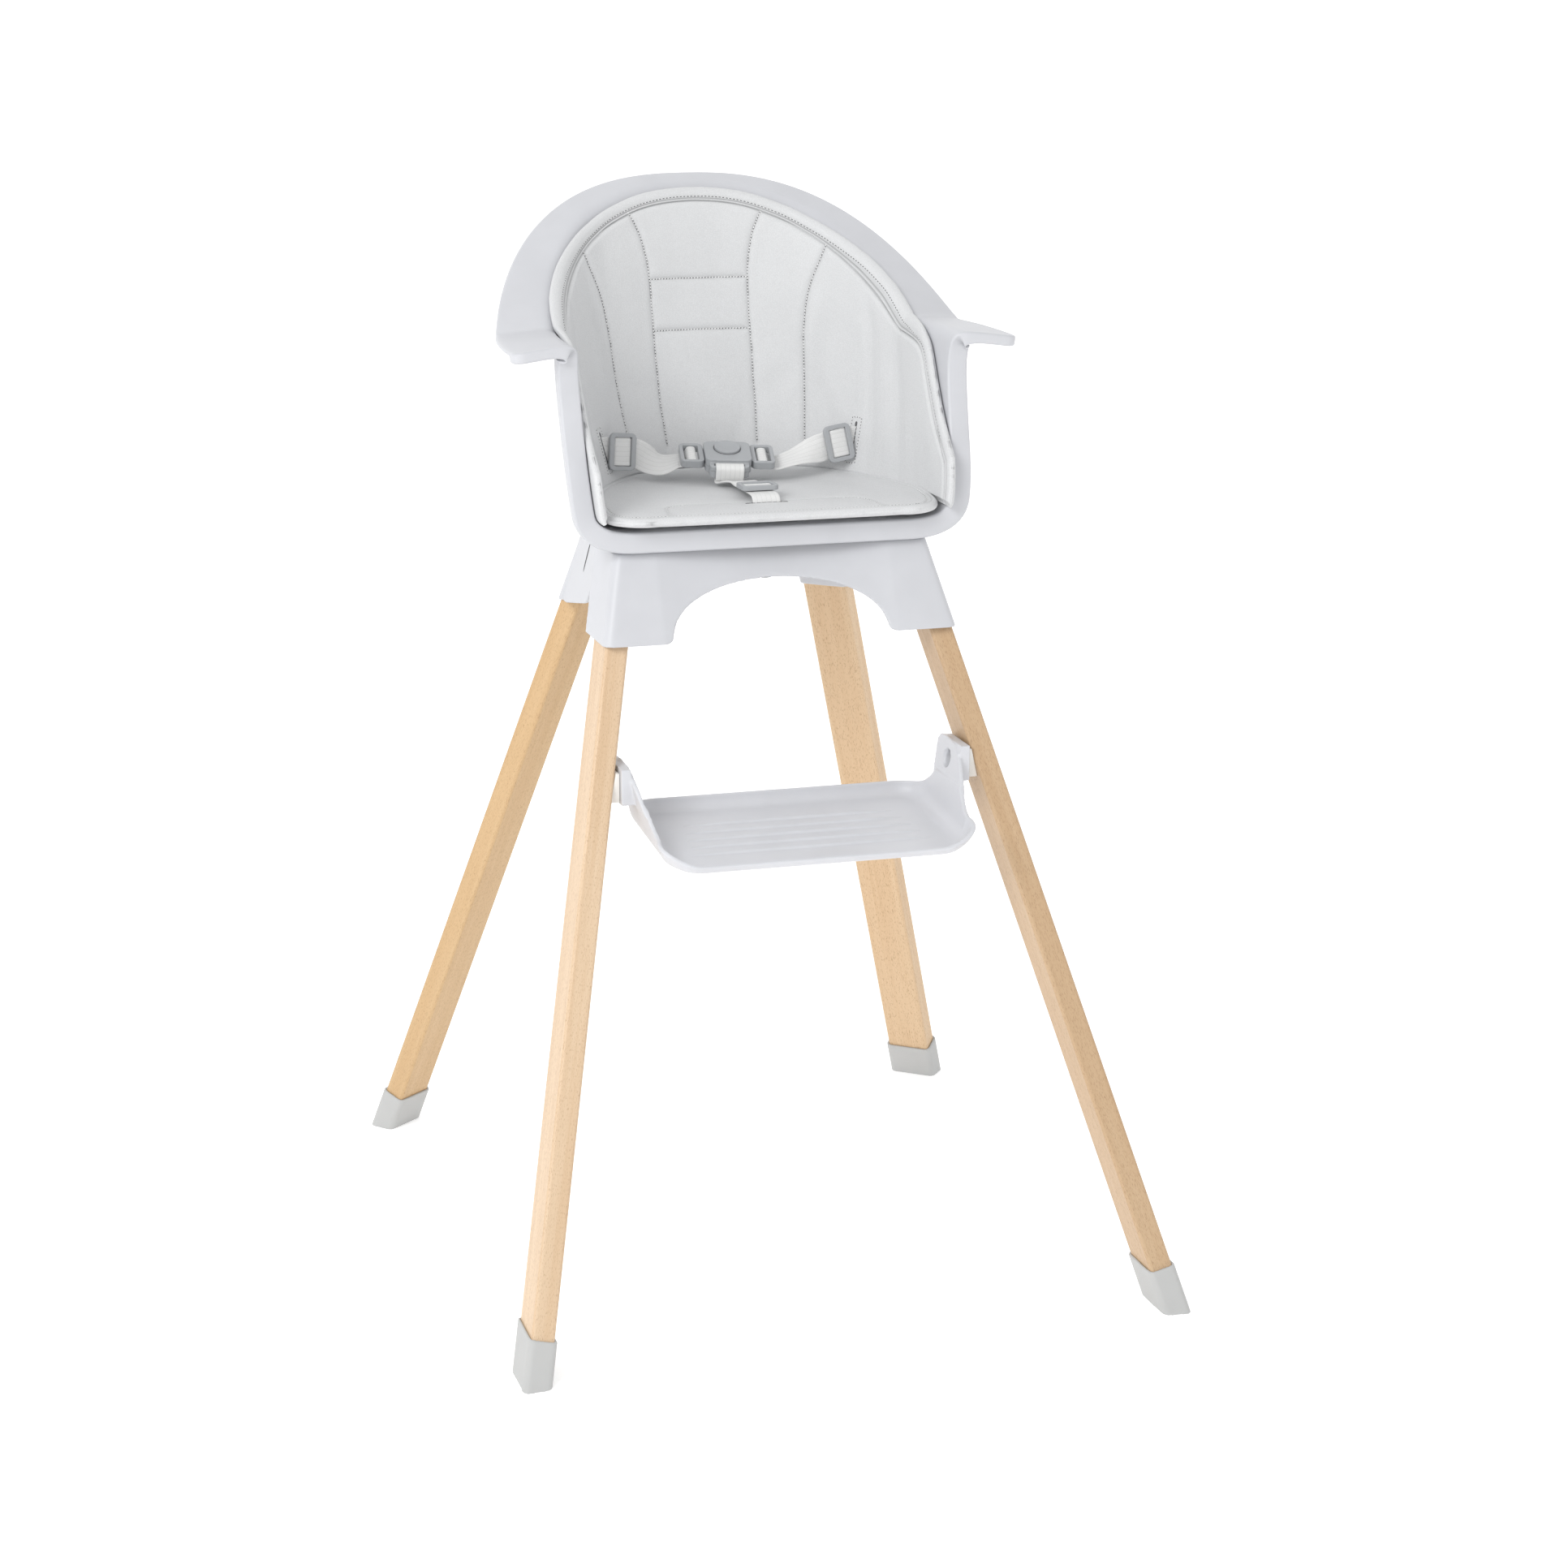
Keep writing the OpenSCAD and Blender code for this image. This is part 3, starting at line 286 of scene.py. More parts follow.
def webbing(name, colour):
    """Herringbone webbing: slanted yarns in columns, read from the strap's own UV map in metres."""
    s = Shader(name, 0.42, 0.55)
    uv = s.node("ShaderNodeUVMap", uv_map="weave").outputs[0]
    parts = s.node("ShaderNodeSeparateXYZ")
    s.put(uv, parts.inputs[0])
    across, along = parts.outputs[0], parts.outputs[1]
    column, pitch = 0.0042, 0.0011   # metres: a column's width, and from yarn to yarn
    folded = s.math("PINGPONG", across, column)
    phase = s.math("DIVIDE", s.math("ADD", along, s.math("MULTIPLY", folded, 0.9)), pitch)
    ridge = s.math("SINE", s.math("MULTIPLY", phase, TAU))
    low_edge = s.remap(folded, 0.0, column * 0.12)
    high_edge = s.remap(folded, column * 0.88, column, 1.0, 0.0)
    height = s.math("MULTIPLY", s.remap(ridge, -1.0, 1.0), s.math("MULTIPLY", low_edge, high_edge))
    fuzz = s.noise(s.coords(), 1800.0, 2.0)
    # painted shade and light of the weave: valleys darker, yarn ridges lighter
    paint = s.mix(s.remap(height, 0.0, 1.0), tint(colour, 0.80), tint(colour, 1.06))
    paint = s.mix(s.remap(fuzz, 0.35, 0.7, 0.0, 0.25), paint, tint(colour, 0.86))
    normal = s.bump(height, 0.00022, 0.7, s.bump(fuzz, 0.0001, 0.4))
    s.bsdf.inputs["Sheen Weight"].default_value = 0.25
    return s.done(paint, normal)


def thread(name, colour, rough=0.55):
    """Twisted sewing thread."""
    s = Shader(name, rough, 0.4)
    at = s.coords()
    twist = s.noise(at, 3200.0, 1.0)
    paint = s.mix(s.remap(twist, 0.35, 0.65), tint(colour, 0.82), tint(colour, 1.05))
    return s.done(paint, s.bump(twist, 0.00008, 0.6))


def zinc(name):
    """Zinc-plated steel with a faint drawn grain."""
    s = Shader(name, 0.32, 0.5)
    s.bsdf.inputs["Metallic"].default_value = 1.0
    at = s.coords()
    grain = s.noise(s.scaled(at, (300, 300, 2400)), 1.0, 2.0)
    paint = s.mix(s.remap(grain, 0.3, 0.7), (0.50, 0.51, 0.53), (0.66, 0.67, 0.69))
    return s.done(paint, s.bump(grain, 0.00004, 0.4), s.remap(grain, 0.3, 0.7, 0.26, 0.42))


SHELL_GREY = (0.545, 0.552, 0.578)
MATERIALS = {
    "plastic": moulded_plastic("shell_plastic", SHELL_GREY, 0.40),
    "rest": moulded_plastic("rest_plastic", tint(SHELL_GREY, 1.12), 0.40),
    "caps": moulded_plastic("cap_rubber", (0.470, 0.473, 0.468), 0.62, 1500.0, 0.00008),
    "liner": leather("liner_leather", (0.635, 0.642, 0.650)),
    "hardware": moulded_plastic("harness_plastic", (0.375, 0.388, 0.402), 0.34, 2200.0, 0.00003),
    "studs": moulded_plastic("stud_plastic", (0.82, 0.80, 0.76), 0.36),
    "webbing": webbing("strap_webbing", (0.83, 0.832, 0.825)),
    "steel": zinc("zinc_steel"),
    "thread": thread("pale_thread", (0.84, 0.842, 0.838)),
    # painted shade: a near-black stand-in for the shadow in needle holes, slits and gaps
    "holes": thread("needle_holes", (0.13, 0.132, 0.136), 0.8),
}


# ---- Mesh helpers ----


def mesh_from(name, co, faces):
    """A mesh with its faces turned outwards."""
    mesh = bpy.data.meshes.new(name)
    mesh.from_pydata(co.tolist(), [], [tuple(int(i) for i in f) for f in faces])
    mesh.update()
    bm = bmesh.new()
    bm.from_mesh(mesh)
    bmesh.ops.recalc_face_normals(bm, faces=bm.faces)
    bm.to_mesh(mesh)
    bm.free()
    return mesh


def add_mesh(name, points, faces, kind, body=None, slot=None, replaces=(), metres=False):
    """A new piece from points and faces, with its material, body and the CAD nodes it stands for; slot is not
    used.
    """
    mesh = mesh_from(name, np.asarray(points, float) if metres else to_scene(points), faces)
    mesh.shade_smooth()
    obj = link(name, mesh)
    mesh.materials.append(MATERIALS[kind])
    if body:
        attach(obj, body)
    if replaces:
        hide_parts(*replaces)
    return obj


def run_modifiers(obj):
    """Puts the mesh that the modifiers make in place of the object's own."""
    bpy.context.view_layer.update()
    shown = obj.evaluated_get(bpy.context.evaluated_depsgraph_get())
    made = bpy.data.meshes.new_from_object(shown)
    obj.modifiers.clear()
    obj.data = made


def grid_faces(rows, cols, first=0):
    r, c = np.meshgrid(np.arange(rows - 1), np.arange(cols - 1), indexing="ij")
    a = first + r * cols + c
    return np.stack([a, a + 1, a + cols + 1, a + cols], -1).reshape(-1, 4).tolist()


def ring_faces(rows, cols, first=0):
    """Quads of a grid whose columns close into rings."""
    r, c = np.meshgrid(np.arange(rows - 1), np.arange(cols), indexing="ij")
    a, b = first + r * cols + c, first + r * cols + (c + 1) % cols
    return np.stack([a, b, b + cols, a + cols], -1).reshape(-1, 4).tolist()


def joint_faces(cols, first, second):
    """Quads between the ring that starts at first and the one that starts at second."""
    return [(first + c, first + (c + 1) % cols, second + (c + 1) % cols, second + c) for c in range(cols)]


def dress(obj, material):
    """One material in place of whatever the object has."""
    obj.data.materials.clear()
    obj.data.materials.append(material)


def moulded(node, name, voxel, rounds, kind, body, above=None, extra=()):
    """A CAD node remeshed and eased, so that every moulded edge is round.

    Only what is higher than above is kept, and closed meshes in extra join it.
    """
    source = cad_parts[node]
    bm = bmesh.new()
    bm.from_mesh(source.data)
    bmesh.ops.remove_doubles(bm, verts=bm.verts, dist=1e-6)
    if above is not None:
        cut = bmesh.ops.bisect_plane(
            bm, geom=bm.verts[:] + bm.edges[:] + bm.faces[:], plane_co=(0, 0, above * MM), plane_no=(0, 0, 1),
            clear_inner=True,
        )
        edges = [e for e in cut["geom_cut"] if isinstance(e, bmesh.types.BMEdge)]
        bmesh.ops.triangle_fill(bm, edges=edges, use_beauty=True)
    for points, faces in extra:
        verts = [bm.verts.new(p) for p in to_scene(points)]
        for f in faces:
            bm.faces.new([verts[i] for i in f])
    if extra:
        bmesh.ops.recalc_face_normals(bm, faces=bm.faces)
    mesh = bpy.data.meshes.new(name)
    bm.to_mesh(mesh)
    bm.free()
    obj = link(name, mesh)
    remesh = obj.modifiers.new("remesh", "REMESH")
    remesh.mode = "VOXEL"
    remesh.voxel_size = voxel * MM
    ease = obj.modifiers.new("ease", "SMOOTH")
    ease.factor = 0.5
    ease.iterations = rounds
    run_modifiers(obj)
    dress(obj, MATERIALS[kind])
    obj.data.shade_smooth()
    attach(obj, body)
    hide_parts(node)
    return obj


def hard(node, name, voxel, body):
    """A moulded piece of the harness's hardware."""
    return moulded(node, name, voxel, 4, "hardware", body)


def tree_of(points):
    tree = kdtree.KDTree(len(points))
    for i, p in enumerate(points):
        tree.insert(p, i)
    tree.balance()
    return tree


def distances(points, line):
    """Distance of each point from a dense line of points."""
    tree = tree_of(line)
    return np.array([tree.find(p)[2] for p in points])


def dense(line, step):
    """A polyline resampled at even steps."""
    line = np.asarray(line, float)
    length = np.concatenate([[0], np.cumsum(np.linalg.norm(np.diff(line, axis=0), axis=1))])
    n = max(2, int(length[-1] / step) + 1)
    at = np.linspace(0, length[-1], n)
    return np.stack([np.interp(at, length, line[:, k]) for k in range(line.shape[1])], 1)


def spline(points, per_span):
    """Catmull-Rom through points, with any number of columns."""
    p = np.asarray(points, float)
    p = np.vstack([2 * p[0] - p[1], p, 2 * p[-1] - p[-2]])
    out = []
    for i in range(1, len(p) - 2):
        t = np.linspace(0, 1, per_span, endpoint=False)[:, None]
        a, b, c, d = p[i - 1 : i + 3]
        bend, twist = 2 * a - 5 * b + 4 * c - d, 3 * b - a - 3 * c + d
        out.append(0.5 * (2 * b + (c - a) * t + bend * t**2 + twist * t**3))
    out.append(p[-2][None])
    return np.vstack(out)


# ---- Seat surface: the same rails as the CAD source ----

# Half width, front y, back y, roundness, front z, back z, y where the rail starts to rise
RAILS = np.array([
    [120, -62, 98, 2.0, 645, 645, 0],
    [156, -62, 134, 2.0, 645, 647, 0],
    [161, -58, 149, 2.1, 678, 684, 0],
    [163, -38, 173, 2.5, 735, 748, 0],
    [164, -28, 203, 2.6, 778, 876, 60],
    [166, -38, 213, 2.6, 803, 906, 60],
    [194, -42, 223, 2.5, 801, 913, 66],
    [224, -45, 232, 2.45, 797, 917, 74],
], float)
SEGMENTS = len(RAILS) - 2
RISE_POWER = 1.12
LIP_S = 0.036                          # how far round the thick frame of the front opening reaches
WALL, LIP_LOW, LIP_HIGH = 4.0, 18, 9.5   # thickness of the wall, and of that frame below and at the armrests
LIP_STEP = 1.8                         # width of the step behind it
EDGE_R = 2.3
ARM_CORNER = 11.0


def rail(k, s):
    w, front, back, n, z_front, z_back, y_rise = RAILS[k]
    q = np.sin(np.pi / 2 * s)
    y = front + (back - front) * q
    x = w * np.maximum(0, 1 - np.abs(q) ** n) ** (1 / n)
    rise = np.maximum(0, (y - y_rise) / (back - y_rise)) ** RISE_POWER
    return np.stack([x, y, z_front + (z_back - z_front) * rise], -1)


def surface(s, v):
    """Inner surface of the bucket: s from the front edge round to the back, v from floor to rim."""
    s, v = np.broadcast_arrays(np.asarray(s, float), np.asarray(v, float))
    rails = np.stack([rail(k, s) for k in range(len(RAILS))])
    t = np.clip(v, 0, 1 - 1e-6) * SEGMENTS
    i = np.floor(t).astype(int)
    f = (t - i)[..., None]
    p0, p1, p2 = (np.take_along_axis(rails, (i + k)[None, ..., None], 0)[0] for k in range(3))
    first, last = (i == 0)[..., None], (i == SEGMENTS - 1)[..., None]
    a = np.where(first, p0, (p0 + p1) / 2)
    c = np.where(last, p2, (p1 + p2) / 2)
    return a * (1 - f) ** 2 + p1 * 2 * f * (1 - f) + c * f**2


def outward(s, v):
    """Unit normal of that surface, away from the child."""
    s, v = np.broadcast_arrays(np.asarray(s, float), np.asarray(v, float))
    d = 0.004
    t = np.minimum(s, 0.985)
    ds = surface(t + d, v) - surface(t - d, v)
    dv = surface(t, np.minimum(v + d, 1)) - surface(t, np.maximum(v - d, 0))
    n = unit(np.cross(ds, dv))
    n[..., 0] *= np.clip((1 - s) / 0.015, 0, 1)
    low = np.clip(v / 0.02, 0, 1)[..., None]
    return unit(n * low + np.array([0, 0, -1.0]) * (1 - low))


def speed_s(v):
    """Millimetres per unit of s at the front edge."""
    return np.linalg.norm(surface(0.01, v) - surface(0.0, v), axis=-1) / 0.01


def speed_v(s, v=1.0):
    return np.linalg.norm(surface(s, v) - surface(s, np.asarray(v) - 0.01), axis=-1) / 0.01


FLIP = np.array([-1.0, 1.0, 1.0])


def both_sides(points):
    """Columns of the right half, then the mirrored ones back to the left front edge."""
    return np.concatenate([points, points[:, :-1][:, ::-1] * FLIP], axis=1)


def both_sides_of(values):
    """The same for a grid of plain numbers."""
    return np.concatenate([values, values[:, :-1][:, ::-1]], axis=1)


def across_middle(points):
    """A line of the right half, continued over the middle to its mirrored start."""
    return np.vstack([points, points[:-1][::-1] * FLIP])


def closed_strip(inner, outer, bridge_floor):
    """Points and faces of a solid between two grids; the floor is bridged across where asked."""
    rows, cols = inner.shape[:2]
    n = rows * cols
    faces = grid_faces(rows, cols) + [f[::-1] for f in grid_faces(rows, cols, n)]
    top = (rows - 1) * cols
    for c in range(cols - 1):
        faces.append((top + c, top + c + 1, n + top + c + 1, n + top + c))
        if not bridge_floor:
            faces.append((c + 1, c, n + c, n + c + 1))
    for r in range(rows - 1):
        for c in (0, cols - 1):
            a = r * cols + c
            faces.append((a, a + cols, n + a + cols, n + a))
    if bridge_floor:
        middle = (cols - 1) // 2
        for base in (0, n):
            for c in range(middle):
                o = cols - 1 - c
                quad = [base + c, base + c + 1, base + o - 1, base + o]
                faces.append(quad if c < middle - 1 else quad[:2] + quad[3:])
        faces.append((0, cols - 1, n + cols - 1, n))
    return np.concatenate([inner.reshape(-1, 3), outer.reshape(-1, 3)]), faces


def edge_round(distance, radius):
    """How far a face falls back near an edge of that radius."""
    t = np.clip((radius - distance) / np.maximum(radius, 1e-6), 0, 1)
    return radius * (1 - np.sqrt(np.maximum(0, 1 - t * t)))


def make_shell():
    edge = np.array([0, 0.1, 0.35, 0.8, 1.45, EDGE_R])
    fr = speed_s(np.array([0.5]))[0]
    start = np.concatenate([edge / fr, np.linspace(EDGE_R / fr, LIP_S, 8)[1:-1]])
    step = LIP_S + np.array([-1, 0, 1, 2]) * LIP_STEP / 2 / fr
    start = np.sort(np.concatenate([start, step]))
    s_half = np.concatenate([start, np.linspace(start[-1], 1, 100)[1:]])
    rim = speed_v(s_half)
    wall = np.linspace(0, 1, 100)[:, None] * (1 - EDGE_R / rim)
    v = np.vstack([wall, 1 - edge[:5][::-1, None] / rim])
    s = np.tile(s_half, (len(v), 1))
    along = speed_s(v[:, 0])[:, None]
    a, b = s * along, (1 - v) * rim[None, :]
    # round the armrest's upper front corner, by pressing the grid's square corner into a quarter circle
    near = (a < ARM_CORNER) & (b < ARM_CORNER)
    p, q = np.clip(1 - a / ARM_CORNER, 0, 1), np.clip(1 - b / ARM_CORNER, 0, 1)
    p2, q2 = p * np.sqrt(1 - q * q / 2), q * np.sqrt(1 - p * p / 2)
    a = np.where(near, ARM_CORNER * (1 - p2), a)
    b = np.where(near, ARM_CORNER * (1 - q2), b)
    distance = np.where(near, ARM_CORNER * (1 - np.hypot(p2, q2)), np.minimum(a, b))
    s2, v2 = a / along, 1 - b / rim[None, :]
    lip = LIP_LOW + (LIP_HIGH - LIP_LOW) * smooth((v2 - 0.70) / 0.2)
    lip_mm = LIP_S * along
    thick = WALL + (lip - WALL) * (1 - smooth((a - lip_mm + LIP_STEP / 2) / LIP_STEP))
    fall = edge_round(np.maximum(distance, 0), np.minimum(EDGE_R, thick / 2))
    base, n = surface(s2, v2), outward(s2, v2)
    inner = both_sides(base + n * fall[..., None])
    outer = both_sides(base + n * (thick - fall)[..., None])
    points, faces = closed_strip(inner, outer, True)
    return add_mesh("seat_shell_moulding", points, faces, "plastic", "seat", "plastic", ["seat_shell"])


# ---- Liner ----

PAD_S0, PAD_LOW = -0.045, 0.125        # the liner's front end and lower edge
PAD_TOP = np.array([                   # its upper edge, as (s, v)
    [-0.06, 0.29], [0.011, 0.38], [0.045, 0.455], [0.084, 0.611], [0.12, 0.670], [0.16, 0.715], [0.25, 0.77],
    [0.354, 0.795], [0.45, 0.785], [0.57, 0.752], [0.67, 0.73], [0.8, 0.725], [1, 0.75],
])
PAD_GAP, PAD_THICK, BIND_THICK = 0.9, 8.0, 6.4   # gap to the shell, thickness, thickness of the bound edge


def smoothed_top(reach=24, spread=10.0):
    """The upper edge with its corners rounded by a bell-shaped average."""
    s = np.linspace(PAD_TOP[0, 0], 1, 600)
    wide = np.pad(np.interp(s, PAD_TOP[:, 0], PAD_TOP[:, 1]), reach, mode="reflect", reflect_type="odd")
    weights = np.exp(-0.5 * (np.arange(-reach, reach + 1) / spread) ** 2)
    return s, np.convolve(wide, weights / weights.sum(), mode="valid")


TOP_LINE = smoothed_top()


def pad_top(s):
    return np.interp(s, *TOP_LINE)


# Points of the seams, in millimetres
SEAMS_UP = {
    "inner": [(62.6, 191.7, 886.7), (51.8, 184.4, 868.4), (46.7, 179.8, 847.8), (44.5, 174.8, 827.1),
              (44.6, 171.2, 806.3), (44.7, 166.0, 782.3), (44.8, 157.5, 743.2), (45.1, 144.3, 678.2)],
    "outer": [(116.8, 160.4, 855.7), (104, 158.3, 834.1), (95.6, 156.8, 815.1), (90.4, 152.6, 792.7),
              (88.5, 148.4, 771.5), (88.1, 141.5, 744.4), (87.6, 129.0, 696.5), (87.3, 124.0, 680.0)],
}
LEVEL_SEAMS = (827.0, 782.0)


def seam_params(points):
    """(s, v) on the liner's face nearest to each point."""
    s, v = np.meshgrid(np.linspace(0.2, 1, 401), np.linspace(PAD_LOW, 0.8, 201), indexing="ij")
    face = liner_point(s, v, PAD_GAP + PAD_THICK)
    found = [np.argmin(((face - np.asarray(p)) ** 2).sum(-1)) for p in points]
    return np.stack([s.flat[found], v.flat[found]], 1)


def liner_point(s, v, height):
    """A point at that height over the shell, on the child's side."""
    return surface(s, v) - outward(s, v) * np.asarray(height)[..., None]


def averaged(columns, count):
    """Running mean down two columns, without the ends."""
    kernel = np.ones(count) / count
    return np.stack([np.convolve(columns[:, k], kernel, "valid") for k in (0, 1)], 1)


def liner_lines():
    """Border, upright seams and level seams of the back liner's right half as dense lines of (s, v)."""
    lines = {}
    s = np.linspace(PAD_S0, 1, 500)
    border = np.stack([s, pad_top(s)], 1)
    end = np.stack([np.full(40, PAD_S0), np.linspace(PAD_LOW, pad_top(PAD_S0), 40)], 1)
    lines["border"] = np.vstack([end, border])
    for name, points in SEAMS_UP.items():
        line = spline(seam_params(dense(points, 12)), 8)
        line[4:-4] = averaged(line, 9)
        lines[name] = line
    face = PAD_GAP + PAD_THICK
    inner_z = liner_point(*lines["inner"].T, face)[:, 2]
    v_grid = np.linspace(0.3, 0.75, 400)
    for z in LEVEL_SEAMS:
        s_line = np.linspace(lines["inner"][np.argmin(np.abs(inner_z - z)), 0], 1, 60)
        v_line = [np.interp(z, liner_point(s, v_grid, face)[:, 2], v_grid) for s in s_line]
        lines[f"level_{int(z)}"] = np.stack([s_line, v_line], 1)
    return lines


def sewn_lines(lines):
    return [line for name, line in lines.items() if name != "border"]


def graded(total, fine, count):
    """Rows from 0 to total: the fine ones as they are, then count even ones."""
    fine = np.asarray(fine, float)
    fine = fine * min(1.0, 0.45 * total / fine[-1])
    return np.concatenate([fine, np.linspace(fine[-1], total, count + 1)[1:]])


def simulate_puff(points, faces, pinned, pressure=4.0, frames=20):
    """Cloth with inner pressure on a closed mesh, with some points held. Returns how each point moved."""
    co = to_scene(points)
    obj = link("puff", mesh_from("puff", co, faces))
    group = obj.vertex_groups.new(name="held")
    group.add([int(i) for i in np.flatnonzero(pinned)], 1.0, "REPLACE")
    cloth = obj.modifiers.new("cloth", "CLOTH")
    cloth.settings.quality = 6
    cloth.settings.mass = 0.15
    cloth.settings.vertex_group_mass = "held"
    cloth.settings.use_pressure = True
    cloth.settings.uniform_pressure_force = pressure
    cloth.settings.effector_weights.gravity = 0
    cloth.settings.tension_stiffness = 25
    cloth.settings.compression_stiffness = 25
    cloth.settings.bending_stiffness = 1.2
    cloth.point_cache.frame_start, cloth.point_cache.frame_end = 1, frames
    scene = bpy.context.scene
    for number in range(1, frames + 1):
        scene.frame_set(number)
    shown = obj.evaluated_get(bpy.context.evaluated_depsgraph_get())
    after = np.empty(len(points) * 3)
    shown.data.vertices.foreach_get("co", after)
    moved = (after.reshape(-1, 3) - co) / MM
    bpy.data.objects.remove(obj)
    scene.frame_set(1)
    return moved


def blur(grid, rounds):
    for _ in range(rounds):
        g = np.pad(grid, 1, mode="edge")
        grid = (g[:-2, 1:-1] + g[2:, 1:-1] + g[1:-1, :-2] + g[1:-1, 2:] + 2 * g[1:-1, 1:-1]) / 6
    return grid


PUFF_CAP, SEAT_PUFF_CAP = 3.4, 2.6


def back_puff(lines):
    """How far the back liner swells off its own thickness, on a coarse grid over the right half."""
    s = np.concatenate([np.linspace(PAD_S0, 0.1, 12), np.linspace(0.1, 1, 44)[1:]])
    w = np.linspace(0, 1, 44)
    ss = np.tile(s, (len(w), 1))
    vv = PAD_LOW + w[:, None] * (pad_top(s) - PAD_LOW)[None, :]
    face = PAD_GAP + PAD_THICK - 1   # the pad starts a little thinner than it ends
    inner, outer = liner_point(ss, vv, face), liner_point(ss, vv, PAD_GAP)
    flat = inner.reshape(-1, 3)
    seam_pts = np.vstack([liner_point(*line.T, face) for line in sewn_lines(lines)])
    to_seam = distances(flat, seam_pts).reshape(ss.shape)
    to_edge = distances(flat, liner_point(*lines["border"].T, face)).reshape(ss.shape)
    points, faces = closed_strip(both_sides(inner), both_sides(outer), False)
    hold = (to_seam < 3.2) | (to_edge < 13.0)
    hold[:2] = True
    hold = both_sides_of(hold)
    pinned = np.concatenate([hold.ravel(), np.ones(hold.size, bool)])
    moved = simulate_puff(points, faces, pinned)[: hold.size].reshape(*hold.shape, 3)[:, : len(s)]
    puff = capped(-(moved * outward(ss, vv)).sum(-1), PUFF_CAP)
    return s, w, blur(np.clip(puff, 0, PUFF_CAP + 1.2), 1)


def capped(puff, cap):
    """Swelling scaled down until all but its highest points stay under the cap."""
    puff = np.clip(puff, 0, None)
    return puff * min(1.0, cap / max(1e-6, np.percentile(puff, 92)))


def sample_grid(rows, cols, grid, r, c):
    """Bilinear value of grid at rows r and columns c, both in the units of rows and cols."""
    i = np.interp(r, rows, np.arange(len(rows)))
    j = np.interp(c, cols, np.arange(len(cols)))
    i0, j0 = np.clip(i.astype(int), 0, len(rows) - 2), np.clip(j.astype(int), 0, len(cols) - 2)
    fi, fj = i - i0, j - j0
    return (grid[i0, j0] * (1 - fi) * (1 - fj) + grid[i0 + 1, j0] * fi * (1 - fj)
            + grid[i0, j0 + 1] * (1 - fi) * fj + grid[i0 + 1, j0 + 1] * fi * fj)


SLOT_REACH = 16.5    # half length of a waist strap's slot
STITCH_ROW = 8.6     # distance of the dashed row from the liner's edge
CORD = 11.2          # distance of the thin cord
GROOVE_W = 0.55      # half width of the grooves beside it


def bell(distance, width):
    return np.exp(-(distance / width) ** 2)


def half_round(distance, radius):
    """Height of a rounded edge over its middle plane, at a distance from its outline."""
    return radius * np.sqrt(np.clip(1 - (1 - np.clip(distance / radius, 0, 1)) ** 2, 0, 1))


def face_height(to_edge, to_seam, puff):
    """Height of the liner's face over the shell at a distance from its edge and its seams."""
    band = PAD_GAP + BIND_THICK
    panel = PAD_GAP + PAD_THICK + puff
    h = band + (panel - band) * smooth((to_edge - 11.6) / 5.0)
    h = h + 0.5 * bell(to_edge - 4.6, 2.8)                  # the binding's soft crown
    h = h - 0.55 * bell(to_edge - STITCH_ROW, 0.8)
    h = h - 1.3 * bell(to_edge - CORD + 1.15, GROOVE_W)
    h = h - 1.5 * bell(to_edge - CORD - 1.15, GROOVE_W)
    h = h + 0.3 * bell(to_edge - CORD, 0.7)
    inside = smooth((to_edge - 12.5) / 2.0)
    h = h - inside * (bell(to_seam, 3.6) + bell(to_seam, 1.0))
    r = BIND_THICK / 2
    return np.where(to_edge < r, PAD_GAP + r + half_round(to_edge, r), h)


def face_groove_shade(to_edge, to_seam):
    """Painted shade: how dark the liner is painted in its grooves and along its seams."""
    c = 0.52 * bell(to_edge - CORD + 1.2, 0.5) + 0.62 * bell(to_edge - CORD - 1.2, 0.55)
    c = c + 0.12 * bell(to_edge - STITCH_ROW, 0.8)
    inside = smooth((to_edge - 12.5) / 2.0)
    c = c + inside * (0.20 * bell(to_seam, 0.8) + 0.07 * bell(to_seam, 3.0))
    return np.clip(c, 0, 1)


# Stores the painted shade of grooves and seams as a point attribute.
def set_groove_shade(obj, values):
    layer = obj.data.attributes.new("groove_shade", "FLOAT", "POINT")
    layer.data.foreach_set("value", np.asarray(values, np.float32))


def arc_of(points):
    """Length along a line from its first point, or along each column of a grid from its first row."""
    steps = np.linalg.norm(np.diff(points, axis=0), axis=-1)
    return np.concatenate([np.zeros((1, *steps.shape[1:])), np.cumsum(steps, axis=0)])


# Distances from the liner's edge where its grid is dense, for the binding, the stitch row and the grooves
EDGE_GRID = np.array([
    0, 0.12, 0.45, 1.0, 1.7, 2.6, 3.6, 4.8, 6.2, 7.4, 8.2, 9.0, 9.6, 10.05, 10.5, 11.0, 11.5, 12.0,
    12.4, 12.9, 13.6, 14.8, 16.2,
])
BACK_COLUMNS, BACK_ROWS = 262, 185     # the even part of that grid


